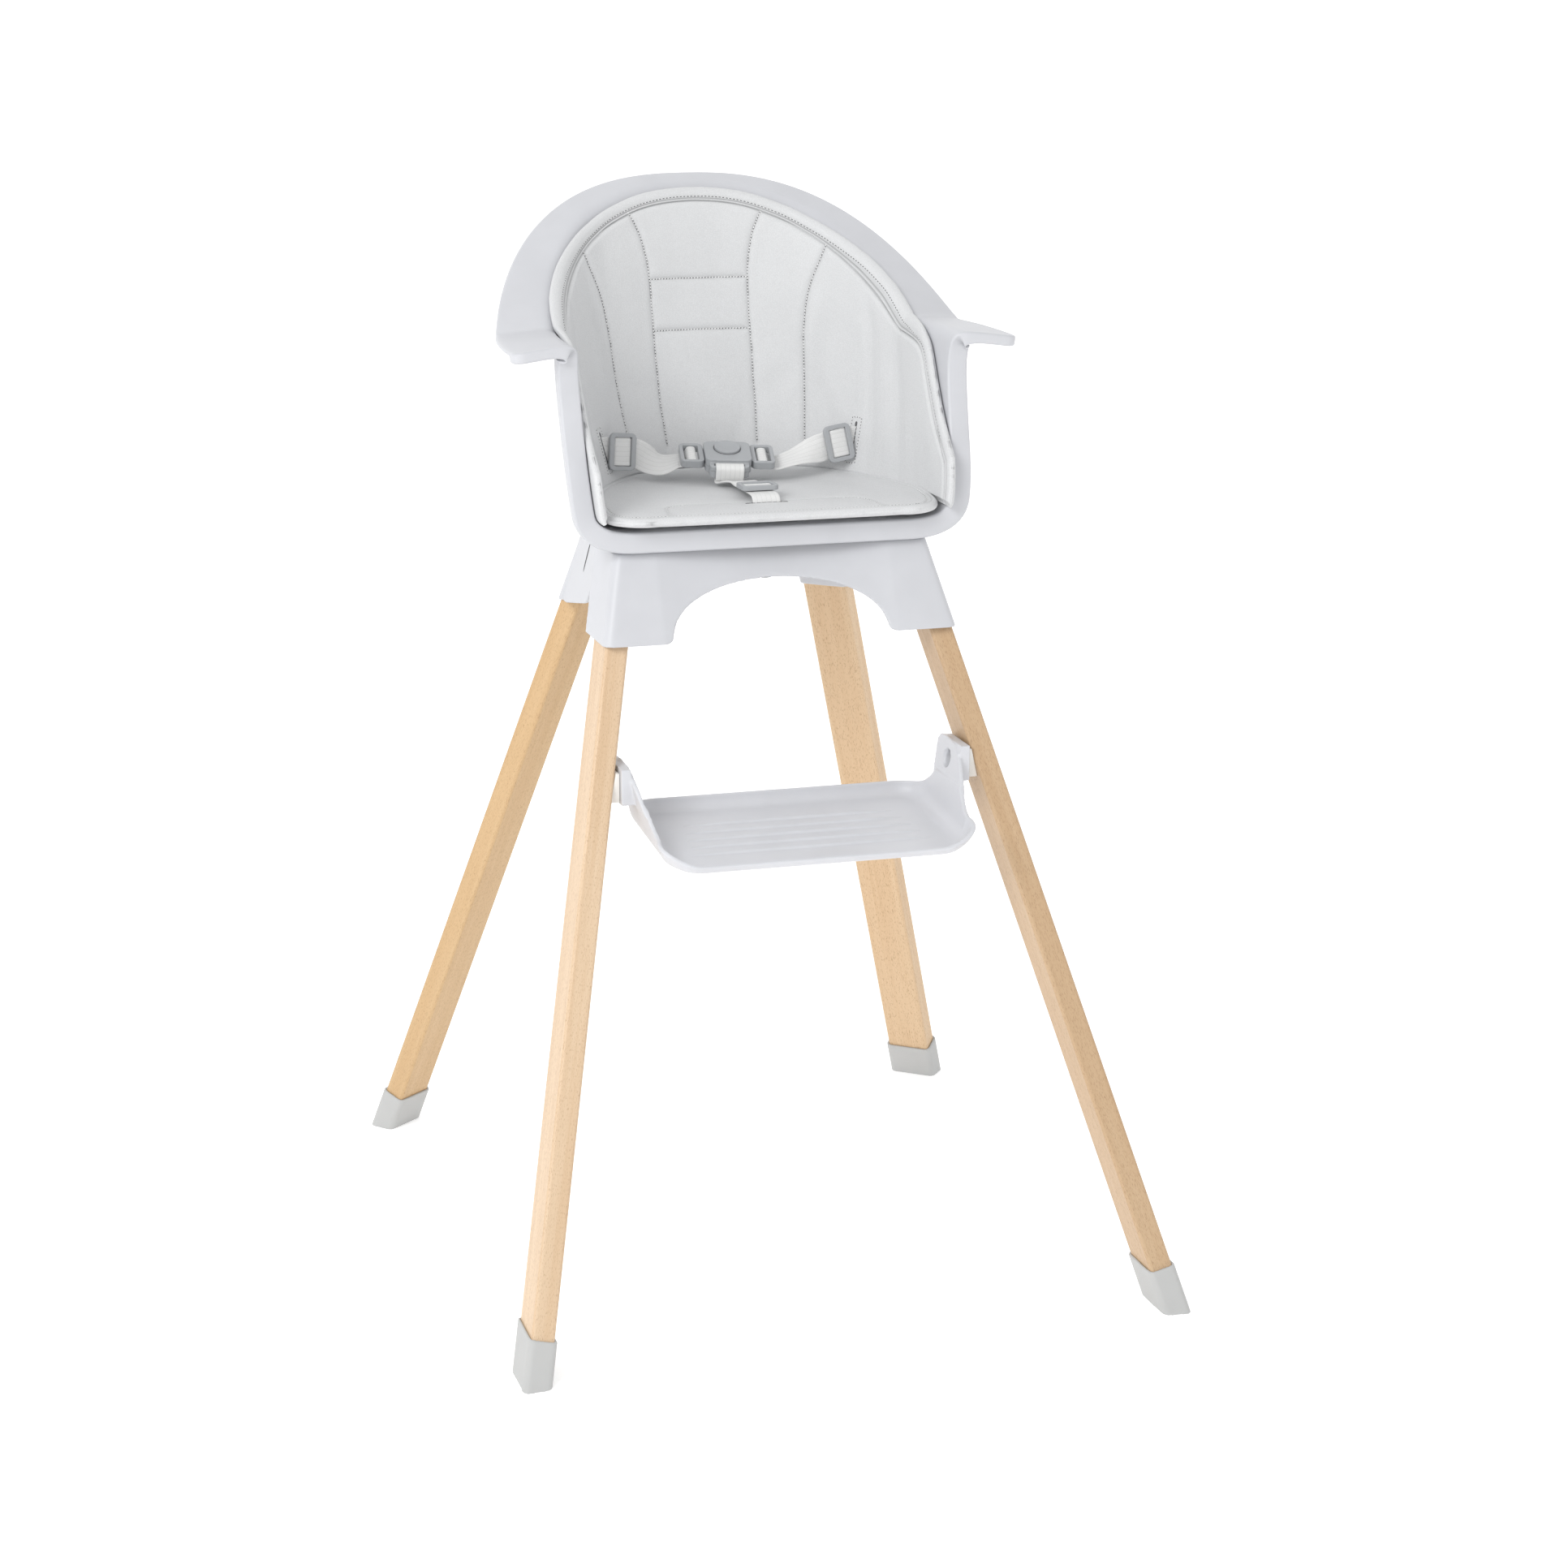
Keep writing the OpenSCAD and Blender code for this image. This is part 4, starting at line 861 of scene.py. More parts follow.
def make_back_liner(lines, coarse):
    """The back liner, from its front end to the middle of the back and mirrored. Returns its face's height."""
    s_c, w_c, puff_c = coarse
    length = arc_of(surface(np.linspace(PAD_S0, 1, 300), 0.5))[-1]
    a = graded(length, EDGE_GRID, BACK_COLUMNS)
    table_s = np.linspace(PAD_S0, 1, 1200)
    arc = arc_of(surface(table_s, 0.25))
    s = np.interp(a * arc[-1] / length, arc, table_s)
    top = pad_top(s)
    v_table = np.linspace(0, 1, 400)[:, None] * (top - PAD_LOW)[None, :] + PAD_LOW
    arc = arc_of(surface(np.tile(s, (400, 1)), v_table))
    rows = len(EDGE_GRID) + BACK_ROWS
    v = np.empty((rows, len(s)))
    d_top = np.gradient(top, s)
    along = speed_s(0.5)
    lift = np.array([speed_v(si, max(ti, 0.02)) for si, ti in zip(s, top)])
    slope = np.sqrt(1 + (d_top * lift / np.maximum(along, 1)) ** 2)
    for k in range(len(s)):
        down = graded(arc[-1, k], EDGE_GRID * min(slope[k], 1.9), BACK_ROWS)
        v[:, k] = np.interp(arc[-1, k] - down[::-1], arc[:, k], v_table[:, k])
    ss = np.tile(s, (rows, 1))
    base, n = surface(ss, v), outward(ss, v)
    flat = base.reshape(-1, 3)
    to_edge = distances(flat, dense(surface(*lines["border"].T), 0.5)).reshape(v.shape)
    sewn = np.vstack([dense(surface(*line.T), 0.5) for line in sewn_lines(lines)])
    to_seam = distances(flat, sewn).reshape(v.shape)
    w = (v - PAD_LOW) / (pad_top(ss) - PAD_LOW)
    puff = sample_grid(w_c, s_c, puff_c, w, ss)
    ripple = 0.35 * np.sin(base[..., 2] / 17.0 + base[..., 0] / 31.0) * np.sin(base[..., 1] / 23.0)
    height = face_height(to_edge, to_seam, puff + ripple * smooth((to_edge - 20) / 20))
    r = BIND_THICK / 2
    under = PAD_GAP + r - half_round(to_edge, r)
    tuck = smooth(arc_of(base) / 6.0)   # the lowest rows thin out behind the seat liner
    height = under + (height - under) * (0.35 + 0.65 * tuck)
    inner = both_sides(base - n * height[..., None])
    outer = both_sides(base - n * under[..., None])
    points, faces = closed_strip(inner, outer, False)
    liner = add_mesh("back_liner", points, faces, "liner", "seat", "liner", ["back_pad"])
    # painted shade in the grooves, the stitch row and along the seams
    groove_shade = both_sides_of(face_groove_shade(to_edge, to_seam))
    set_groove_shade(liner, np.concatenate([groove_shade.ravel(), np.zeros(groove_shade.size)]))

    def height_at(s_q, v_q):
        """Height of the finished face, from the next column and its rows."""
        columns = np.clip(np.searchsorted(s, s_q), 1, len(s) - 1)
        return np.array([np.interp(b, v[:, k], height[:, k]) for k, b in zip(columns, v_q)])

    return height_at


# ---- Stitches ----


def join(whole, part):
    """Adds the points and faces of part to those of whole."""
    first = len(whole[0])
    whole[0].extend(part[0])
    whole[1].extend(tuple(i + first for i in f) for f in part[1])


def capsules(centres, ways, normals, length, width, flat, sides=6, rings=5):
    """Small rounded rods along a seam, merged into one mesh."""
    rows = rings + 2
    t = np.linspace(-1, 1, rows)
    radius = np.sqrt(np.clip(1 - np.abs(t) ** 3.2, 0.04, 1))
    points, faces = [], []
    angle = np.arange(sides) * TAU / sides
    for centre, way, normal in zip(centres, ways, normals):
        side = np.cross(normal, way)
        first = len(points)
        for k in range(rows):
            ring_mid = centre + way * t[k] * length / 2
            for a in angle:
                offset = side * math.cos(a) * width / 2 + normal * math.sin(a) * flat / 2
                points.append(ring_mid + radius[k] * offset)
        faces += ring_faces(rows, sides, first)
        faces.append(tuple(range(first, first + sides))[::-1])
        faces.append(tuple(range(first + (rows - 1) * sides, first + rows * sides)))
    return points, faces


class Sewing:
    """Collects stitches, so that each liner's thread is one piece and the painted shade of its holes and slits
    another.
    """

    def __init__(self):
        self.parts = {"thread": ([], []), "holes": ([], [])}

    def add(self, kind, made):
        join(self.parts[kind], made)

    def stitch(self, line, normals, pitch, length, width, sunk=0.0, tilt=0.0):
        """Thread along a line of surface points, with dark marks of painted shade at its needle holes."""
        even = dense(np.hstack([line, normals]), pitch / 8)
        arc = arc_of(even[:, :3])
        at = np.arange(pitch / 2, arc[-1] - pitch / 2, pitch)

        def get(x):
            return np.stack([np.interp(x, arc, even[:, k]) for k in range(6)], 1)

        mid, ahead, gaps = get(at), get(at + 0.4), get(at + pitch / 2)
        way, up, above = unit(ahead[:, :3] - mid[:, :3]), unit(mid[:, 3:]), unit(gaps[:, 3:])
        slanted = unit(way + np.cross(up, way) * tilt)
        centres = mid[:, :3] + up * (width * 0.2 - sunk)
        self.add("thread", capsules(centres, slanted, up, length, width, width * 0.8))
        # dark flat rods between stitches: painted shade of the needle holes
        centres = gaps[:, :3] + above * (0.02 - sunk)
        self.add("holes", capsules(centres, way, above, pitch - length + 0.35, width, 0.36))

    def slit(self, line, normals, length, width):
        """Painted shade of a slit: dark short rods along a line of surface points."""
        way = unit(line[1:] - line[:-1])
        self.add("holes", capsules((line[1:] + line[:-1]) / 2, way, normals[1:], length, width, 0.9))

    def finish(self, prefix):
        for kind, (points, faces) in self.parts.items():
            if points:
                add_mesh(f"{prefix}_{kind}", points, faces, kind, "seat", "liner")


def sew_back(lines, height_at):
    sewing = Sewing()

    def on_face(s, v):
        n = outward(s, v)
        return surface(s, v) - n * height_at(s, v)[:, None], -n

    for name, line in lines.items():
        if name == "border":
            continue
        p, n = on_face(*line.T)
        runs = [(p, n), (p * FLIP, n * FLIP)]
        if name.startswith("level"):
            runs = [(across_middle(p), across_middle(n))]
        for points, normals in runs:
            sewing.stitch(points, normals, 2.8, 1.95, 0.95, sunk=-0.1, tilt=0.3)
    sew_edge(sewing, on_face)
    sew_slots(sewing, on_face)
    sewing.finish("back_liner")


def grid_tree(s, v):
    """A search tree over the shell's surface at every pair of s and v, with those pairs."""
    grid_s, grid_v = np.meshgrid(s, v, indexing="ij")
    return tree_of(surface(grid_s, grid_v).reshape(-1, 3)), grid_s, grid_v


def sew_edge(sewing, on_face):
    """The dashed row inside the back liner's upper edge."""
    s = np.linspace(PAD_S0 + 0.03, 1, 700)
    top = pad_top(s)
    edge = surface(s, top)
    tangent = unit(np.gradient(edge, axis=0))
    n = outward(s, top)
    inward = unit(np.cross(n, tangent))
    inward *= np.sign((inward * (surface(s, top - 0.03) - edge)).sum(-1))[:, None]
    tree, grid_s, grid_v = grid_tree(np.linspace(PAD_S0, 1, 500), np.linspace(PAD_LOW, 0.8, 260))
    found = [tree.find(p)[1] for p in edge + inward * STITCH_ROW]
    even = averaged(np.stack([grid_s.flat[found], grid_v.flat[found]], 1), 15)
    even[-1, 0] = 1.0
    p, n = on_face(*even.T)
    sewing.stitch(across_middle(p), across_middle(n), 3.3, 1.3, 0.7)


def sew_slots(sewing, on_face):
    """The two slots of the waist straps, each a dark slit of painted shade inside a stitched frame."""
    tree, grid_s, grid_v = grid_tree(np.linspace(0.38, 0.56, 360), np.linspace(0.14, 0.42, 300))
    level = np.cross(WALL_UP, WAIST_OUT)

    def beside_slot(offsets):
        found = [tree.find(WAIST_AT + level * a + WALL_UP * b)[1] for a, b in offsets]
        return on_face(grid_s.flat[found], grid_v.flat[found])

    slit, slit_n = beside_slot([(0, b) for b in np.linspace(-SLOT_REACH, SLOT_REACH, 9)])
    corners = [(x * 5.5, y * (SLOT_REACH + 4)) for x, y in ((-1, -1), (1, -1), (1, 1), (-1, 1), (-1, -1))]
    path, path_n = beside_slot(dense(corners, 1.5))
    for side in (1, FLIP):
        sewing.slit(slit * side, slit_n * side, 4.9, 2.6)
        sewing.stitch(path * side, path_n * side, 2.8, 1.9, 0.8)


# ---- Seat liner ----

SEAT_FRONT = -80.0
SEAT_Z = (646.2, 652.0, 660.0)   # underside, edge's underside, face
SEAT_HALF, SEAT_BACK, SEAT_CORNER = 150.0, 128.0, 36.0
SLOT_Y_SEAT = -34.0              # the crotch strap's slot
SEAT_RISE = 4.5                  # how far the face climbs where it meets the back liner
SEAT_ROW = 9.0                   # distance of the stitch row from the edge
SEAT_GRID = np.array([0, 0.12, 0.45, 1.0, 1.8, 2.8, 4.0, 5.0, 5.6, 6.4, 7.6, 8.4, 9.0, 9.6, 10.6, 12.0])


SEAT_MID = -2.0
SEAT_LINE = [(13.5, -26), (60, -24.5), (80, -26.5), (88.5, -33), (91.5, -43), (95, -69)]
SEAT_LINES = [SEAT_LINE, [(-x, y) for x, y in SEAT_LINE]]   # the sewn line of each front corner


def seat_outline(angle):
    """Radius of the seat liner's plan from its middle, for angles from +X."""
    half, low, r = SEAT_HALF, SEAT_FRONT + SEAT_CORNER, SEAT_CORNER
    t = np.linspace(0, math.pi, 260)
    x = half * np.sign(np.cos(t)) * np.abs(np.cos(t)) ** 0.9
    y = low + (SEAT_BACK - low) * np.sin(t) ** 0.94
    a, b = np.linspace(math.pi, 1.5 * math.pi, 30), np.linspace(1.5 * math.pi, 2 * math.pi, 30)
    left = np.stack([-half + r + r * np.cos(a), low + r * np.sin(a)], 1)
    right = np.stack([half - r + r * np.cos(b), low + r * np.sin(b)], 1)
    front = np.stack([np.linspace(-half + r, half - r, 60)[1:-1], np.full(58, SEAT_FRONT)], 1)
    front[:, 1] += 1.5 * (np.abs(front[:, 0]) / (half - r)) ** 4
    loop = np.vstack([np.stack([x, y], 1), left, front, right]) - np.array([0, SEAT_MID])
    at = np.unwrap(np.arctan2(loop[:, 1], loop[:, 0])) % TAU
    order = np.argsort(at)
    return np.interp(np.asarray(angle) % TAU, at[order], np.hypot(*loop.T)[order], period=TAU)


def to_seat_lines(flat, step):
    """Distance of points in plan from the seat liner's sewn lines."""
    sewn = [dense(spline([(*p, 0) for p in line], 8), step) for line in SEAT_LINES]
    return distances(flat, np.vstack(sewn))


def on_level(x, y, z=0.0):
    """Grids of x and y as points at the height z."""
    return np.stack([x, y, np.broadcast_to(z, x.shape)], -1)


def seat_profile(to_edge, to_line, puff):
    """Height of the seat liner's face, with its stitch row, its bound edge and its sewn lines."""
    h = SEAT_Z[2] + puff * smooth((to_edge - 10) / 14)
    h = h - 0.5 * bell(to_edge - SEAT_ROW, 0.9) - 0.5 * bell(to_edge - 5.5, 1.0)
    return h - 0.55 * bell(to_line, 1.8) - 0.35 * bell(to_line, 0.7)


def make_seat_liner():
    """The seat liner. Returns its outline and its face's height."""
    turns, ring_count = 420, 78
    angle = np.arange(turns) * TAU / turns
    radius = seat_outline(angle)
    way = np.stack([np.cos(angle), np.sin(angle)], 1)
    # rows run from the edge to just short of the middle
    inward = np.array([graded(r, SEAT_GRID, ring_count) for r in radius]).T[:-1]
    rad = radius[None, :] - inward
    x = rad * way[:, 0]
    y = SEAT_MID + rad * way[:, 1]
    outline = on_level(radius * way[:, 0], SEAT_MID + radius * way[:, 1])
    loop = dense(np.vstack([outline, outline[:1]]), 0.6)
    flat = on_level(x, y).reshape(-1, 3)
    to_edge = distances(flat, loop).reshape(x.shape)
    to_line = to_seat_lines(flat, 0.5).reshape(x.shape)
    puff = seat_puff(x, y)
    half = (SEAT_Z[2] - SEAT_Z[1]) / 2
    mid = (SEAT_Z[2] + SEAT_Z[1]) / 2
    bead = half_round(to_edge, half)
    top = np.where(to_edge < half, mid + bead, seat_profile(to_edge, to_line, puff))
    bottom = np.where(to_edge < half, mid - bead, SEAT_Z[1])
    bottom = bottom - (SEAT_Z[1] - SEAT_Z[0]) * smooth((to_edge - 36) / 6)
    climb = SEAT_RISE * smooth((y + 62) / 50) * smooth(1 - to_edge / 42)
    top, bottom = top + climb, bottom + climb * 0.7
    rows, n = len(x), x.size
    tips = [(0, SEAT_MID, top[-1].mean()), (0, SEAT_MID, bottom[-1].mean())]
    points = np.vstack([on_level(x, y, top).reshape(-1, 3), on_level(x, y, bottom).reshape(-1, 3), tips])
    faces = ring_faces(rows, turns) + ring_faces(rows, turns, n) + joint_faces(turns, 0, n)
    for k, base in enumerate((0, n)):
        inmost = base + (rows - 1) * turns
        faces += [(inmost + c, inmost + (c + 1) % turns, 2 * n + k) for c in range(turns)]
    liner = add_mesh("seat_liner", points, faces, "liner", "seat", "liner", ["seat_pad"])
    # painted shade along the sewn lines, the stitch row and the front edge's bead
    front = smooth((-30 - y) / 10)
    groove_shade = 0.45 * bell(to_line, 0.9) + front * 0.28 * bell(to_edge - SEAT_ROW, 0.9)
    groove_shade = np.clip(groove_shade + 0.35 * bell(to_edge - 5.2, 0.7) * front, 0, 1)
    set_groove_shade(liner, np.concatenate([groove_shade.ravel(), np.zeros(groove_shade.size + 2)]))
    tree = tree_of(flat)
    flat_top = top.ravel()

    def height(points_xy):
        return np.array([flat_top[tree.find((p[0], p[1], 0))[1]] for p in points_xy])

    return outline, height


def seat_puff(x, y):
    """Swelling of the seat liner from a coarse cloth simulation, sampled at x and y."""
    turns, rings = 96, 24
    angle = np.arange(turns) * TAU / turns
    radius = seat_outline(angle)
    share = np.linspace(1, 0.06, rings)
    cx = share[:, None] * radius[None, :] * np.cos(angle)
    cy = SEAT_MID + share[:, None] * radius[None, :] * np.sin(angle)
    top, low = on_level(cx, cy, SEAT_Z[2] - 1.5), on_level(cx, cy, SEAT_Z[1])
    n = rings * turns
    faces = []
    for base in (0, n):
        faces += ring_faces(rings, turns, base) + [tuple(range(base + n - turns, base + n))]
    faces += joint_faces(turns, 0, n)
    flat = on_level(cx, cy).reshape(-1, 3)
    to_line = to_seat_lines(flat, 1.0)
    edge = (share[:, None] * np.ones(turns) > 0.93).ravel()
    pinned = np.concatenate([edge | (to_line < 3.0), np.ones(n, bool)])
    moved = simulate_puff(np.concatenate([top.reshape(-1, 3), low.reshape(-1, 3)]), faces, pinned)[:n, 2]
    puff = capped(moved, SEAT_PUFF_CAP)
    tree = tree_of(flat)
    out = np.empty(x.size)
    for i, (a, b) in enumerate(zip(x.ravel(), y.ravel())):
        near = tree.find_n((a, b, 0), 4)
        weight = np.array([1 / (d + 1.5) ** 2 for _, _, d in near])
        out[i] = (weight * puff[[k for _, k, _ in near]]).sum() / weight.sum()
    return out.reshape(x.shape)


def sew_seat(outline, height):
    """The seat liner's front stitch row, its two sewn lines and its slot, a dark mark of painted shade."""
    sewing = Sewing()
    centre = np.array([0, SEAT_MID])
    loop = outline[:, :2]
    tangent = unit(np.roll(loop, -1, 0) - np.roll(loop, 1, 0))
    inward = np.stack([-tangent[:, 1], tangent[:, 0]], 1)
    inward *= np.sign((inward * (centre - loop)).sum(-1))[:, None]
    row = loop + inward * SEAT_ROW
    keep = row[:, 1] < -20
    order = np.argsort(np.arctan2(row[keep, 0], -(row[keep, 1] - 40)))
    front = row[keep][order]
    runs = [front] + [spline(np.array(line, float), 10) for line in SEAT_LINES]
    for run in runs:
        line = np.column_stack([run, height(run)])
        sewing.stitch(line, np.tile([0, 0, 1.0], (len(line), 1)), 3.2, 2.2, 0.7, sunk=0.02)
    slot = [(x, SLOT_Y_SEAT, height([(x, SLOT_Y_SEAT)])[0] - 0.1) for x in np.linspace(-19, 19, 9)]
    slot = np.array(slot)
    way, up = np.tile([1.0, 0, 0], (8, 1)), np.tile([0, 0, 1.0], (8, 1))
    # painted shade of the crotch strap's slot
    sewing.add("holes", capsules((slot[1:] + slot[:-1]) / 2, way, up, 5.6, 3.0, 0.9))
    sewing.finish("seat_liner")


# ---- Harness ----

BUCKLE_AT = np.array([-4.0, 74.0, 681.0])
BUCKLE_TURN = Matrix.Identity(3)
for degrees, axis_name in ((-10, "Z"), (2, "Y"), (18, "X")):
    BUCKLE_TURN = BUCKLE_TURN @ Matrix.Rotation(math.radians(degrees), 3, axis_name)
BUCKLE = np.array(BUCKLE_TURN)                 # its columns are the buckle's own axes
BUCKLE_X, BUCKLE_Y, BUCKLE_UP = BUCKLE.T


def buckle_point(p):
    return BUCKLE_AT + BUCKLE @ np.asarray(p, float)


WEB_W, WEB_T = 25.0, 1.4
CONN_X, CONN_Y = 20.9, 3.0                     # where a connector starts, in the buckle's frame
# The strap's way through a connector: distance from its start, and height
THREAD = [(24, -5.6), (20, -5.1), (17.2, -4.3), (15.2, -1.8), (13.6, 1.3), (12.2, 2.1),
          (10.6, 2.3), (8.9, 2.1), (7.4, 1.3), (6.6, -0.9), (6.5, -2.6)]
WAIST_SLOT = (np.array(0.47), np.array(0.26))   # (s, v) where a waist strap passes the wall
WAIST_OUT, WAIST_AT = outward(*WAIST_SLOT), surface(*WAIST_SLOT)
WALL_UP = unit(np.array([0, 0, 1.0]) - WAIST_OUT[2] * WAIST_OUT)
WALL_IN = [(WAIST_AT + WAIST_OUT * d) for d in (9, 2, -6, -11)]


def threaded(side):
    return [buckle_point((side * (CONN_X + a), CONN_Y, b)) for a, b in THREAD]


# Middle points of each strap, and the directions across it
RIGHT_MID = [(112, 76.9, 691), (104.5, 76.6, 690.3), (97, 75.9, 689.2), (87, 74.9, 687.1), (77.5, 73.6, 684.6),
             (67, 71.9, 681.9), (56, 70.8, 679)]
RIGHT_TURN = [(0, 0.2, 1)] * 3 + [(0, 0.19, 1), (0, 0.5, 0.9), (0, 0.82, 0.6), (0, 0.95, 0.38)]
LEFT_MID = [(-112.5, 78, 690.9), (-105, 78.9, 690.4), (-97, 79.9, 689.7), (-86, 81.4, 687.6), (-80, 82, 684.4),
            (-73.5, 82.6, 680.6), (-65.5, 83.6, 677.6), (-56.5, 85.6, 676.8)]
LEFT_TURN = [(0, 0.1, 1)] * 3 + [(0, 0.07, 1), (0, 0.1, 1), (0, 0.3, 0.95), (0, 0.6, 0.8), (0, 0.88, 0.48)]
SLOT_Y = -21.0                                 # the buckle's slot for the crotch strap
CROTCH = [(0, -34, 634), (0, -34, 646), (0, -34, 658), (0, -33, 662.5), (0, -30, 665.2), (0, -25, 666.2),
          (0, -16, 666.4), (0, -6, 666.4), (0, 6, 666.2), (-0.6, 20, 666), (-1.4, 34, 666.6)]
CROTCH_END = [(0, SLOT_Y + y, z) for y, z in ((-9, -8.6), (-4, -8.4), (-0.4, -6), (-0.2, 1), (-0.3, 3.4))]
CROTCH_WRAP = [(0, -20.8, 2.2), (0, -21.6, 4.9), (0, -23.6, 5.7), (0, -26.6, 5.5), (0, -29.0, 4.0),
               (0, -29.7, 0.5), (0, -29.5, -4.0), (0, -28.4, -7.2), (0, -25.5, -8.8)]

ROUTES = {
    "right": (np.array(WALL_IN + RIGHT_MID + threaded(1)),
              np.array([WALL_UP] * 4 + RIGHT_TURN + [BUCKLE_Y] * len(THREAD))),
    "left": (np.array([p * FLIP for p in WALL_IN] + LEFT_MID + threaded(-1)),
             np.array([WALL_UP * FLIP] * 4 + LEFT_TURN + [BUCKLE_Y] * len(THREAD))),
    "crotch": (np.array(CROTCH + [tuple(buckle_point(p)) for p in CROTCH_END]),
               np.array([(1.0, 0, 0)] * len(CROTCH) + [BUCKLE_X] * len(CROTCH_END))),
}


def ribbon(name, centre, across, width=WEB_W, thick=WEB_T, body=None, replaces=(), per_span=6):
    """A strip of webbing with a rounded selvedge, and a UV map in metres for its weave."""
    both = spline(np.hstack([centre, unit(np.asarray(across, float))]), per_span)
    mid, side = both[:, :3], both[:, 3:]
    way = unit(np.gradient(mid, axis=0))
    side = unit(side - (side * way).sum(-1, keepdims=True) * way)
    up = np.cross(way, side)
    u = -np.cos(np.linspace(0, math.pi, 18)) * 0.5
    from_edge = (0.5 - np.abs(u)) * width
    edge = np.clip(from_edge / (thick * 0.6), 0, 1)
    half = thick / 2 * np.sqrt(1 - (1 - edge) ** 2) * (1 + 0.18 * bell(from_edge - 1.3, 0.7))
    ring_u = np.concatenate([u, u[::-1][1:-1]])
    ring_h = np.concatenate([half, -half[::-1][1:-1]])
    points = mid[:, None] + side[:, None] * (ring_u * width)[:, None] + up[:, None] * ring_h[:, None]
    rows, cols = points.shape[:2]
    faces = ring_faces(rows, cols) + [tuple(range(cols))[::-1], tuple(range((rows - 1) * cols, rows * cols))]
    obj = add_mesh(name, points.reshape(-1, 3), faces, "webbing", None, "webbing", replaces)
    layer = obj.data.uv_layers.new(name="weave")
    uv = np.empty((rows * cols, 2))
    uv[:, 0] = np.tile((ring_u + 0.5) * width * MM, rows)
    uv[:, 1] = np.repeat(arc_of(mid) * MM, cols)
    index = np.empty(len(obj.data.loops), int)
    obj.data.loops.foreach_get("vertex_index", index)
    layer.data.foreach_set("uv", uv[index].ravel())
    if body:
        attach(obj, body)
    return obj


SLIDER_T = 4.2


def slider_frame(k):
    """Middle of a slider's window, and its axes along the strap, across it and out of it."""
    centre, across = ROUTES[k]
    if k == "crotch":
        at, x, y = centre[7], unit(centre[8] - centre[6]), np.array([-1.0, 0, 0])
    else:
        at = centre[5] * 0.32 + centre[6] * 0.68
        x = unit(centre[5] - centre[6]) if k == "right" else unit(centre[6] - centre[5])
        y = across[5]
    y = unit(y - (y @ x) * x)
    out = np.cross(x, y)
    lift = SLIDER_T / 2 + WEB_T / 2 + 0.75
    return at + out * lift, x, y, out


def slider_webbing(k):
    """The webbing that shows in a slider's window, humped over its middle bar."""
    at, x, y, out = slider_frame(k)
    t = np.linspace(-1, 1, 13)
    reach = 7.9
    rise = 1.5 * np.sqrt(np.clip(1 - np.abs(t) ** 2.6, 0, 1)) - 0.95
    centre = at + np.outer(t * reach, x) + np.outer(rise, out)
    ribbon(f"slider_webbing_{k}", centre, np.tile(y, (13, 1)), width=24.6, thick=1.5, body=f"slider_{k}",
           replaces=[f"adjuster_loop_{k}"], per_span=2)


def button_gap_shade():
    """Painted shade: a thin dark ring in the gap round the buckle's button."""
    turn = np.linspace(0, TAU, 65)[:-1]
    section = ((11.35, 6.2), (11.35, 7.06), (12.25, 7.06), (12.25, 6.2))
    ring = [(r * np.cos(a), 5 + r * np.sin(a), z) for a in turn for r, z in section]
    faces = ring_faces(64, 4) + [(252 + k, 252 + (k + 1) % 4, (k + 1) % 4, k) for k in range(4)]
    add_mesh("button_gap_shade", [buckle_point(p) for p in ring], faces, "holes", "seat", "hardware")


def make_harness():
    for side, sign in (("left", -1), ("right", 1)):
        centre, across = ROUTES[side]
        strap = ribbon(f"waist_webbing_{side}", centre, across, replaces=[f"waist_strap_{side}"])
        start = to_scene(centre[7])
        end = to_scene(buckle_point((sign * (CONN_X + 24), CONN_Y, -5)))
        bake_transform(strap)
    centre, across = ROUTES["crotch"]
    ribbon("crotch_webbing", centre, across, body="seat", replaces=["crotch_strap"])
    for k in ("left", "right", "crotch"):
        slider_webbing(k)
        hard(f"adjuster_{k}", f"slider_{k}_moulding", 0.42, f"slider_{k}")
    for side in ("left", "right"):
        hard(f"connector_{side}", f"connector_{side}_moulding", 0.42, f"connector_{side}")
    hard("buckle_body", "buckle_body_moulding", 0.42, "seat")
    hard("buckle_base", "buckle_base_moulding", 0.45, "seat")
    hard("buckle_button", "buckle_button_moulding", 0.35, "button")
    hard("strap_anchors", "strap_anchor_mouldings", 0.5, "seat")
    button_gap_shade()
    ribbon("crotch_webbing_loop", np.array([buckle_point(p) for p in CROTCH_WRAP]),
           np.tile(BUCKLE_X, (len(CROTCH_WRAP), 1)), body="seat")


# ---- Frame, legs and footrest ----

REST_HALF, REST_FRONT, REST_BACK = 130.0, -205.0, -63.0
REST_CORNER, REST_WALL, FILLET = 25.0, 3.7, 12.0
LEAN_FRONT, REST_LEAN, LEAN_BACK = 0.35, 0.2217, 0.12     # how far each wall leans out for each mm it rises
LOW_FRONT, HIGH_CORNER = 4.6, 19.5                        # height of the front lip and of the swollen corners
SLOPE = 0.0875                                            # the floor climbs towards the back
RIBS, RIB_FIRST, RIB_PITCH = 5, 34, 17
REST_TOP = np.array([                                     # upper edge of a side wall, as (y, z)
    [-181, 410], [-174, 412], [-166, 417], [-158, 424], [-152, 429], [-92, 429], [-87, 424], [-82, 416.5],
    [-74, 413], [-63, 412],
], float)


def rest_floor(y):
    return 388.2 + (y - REST_FRONT) * SLOPE


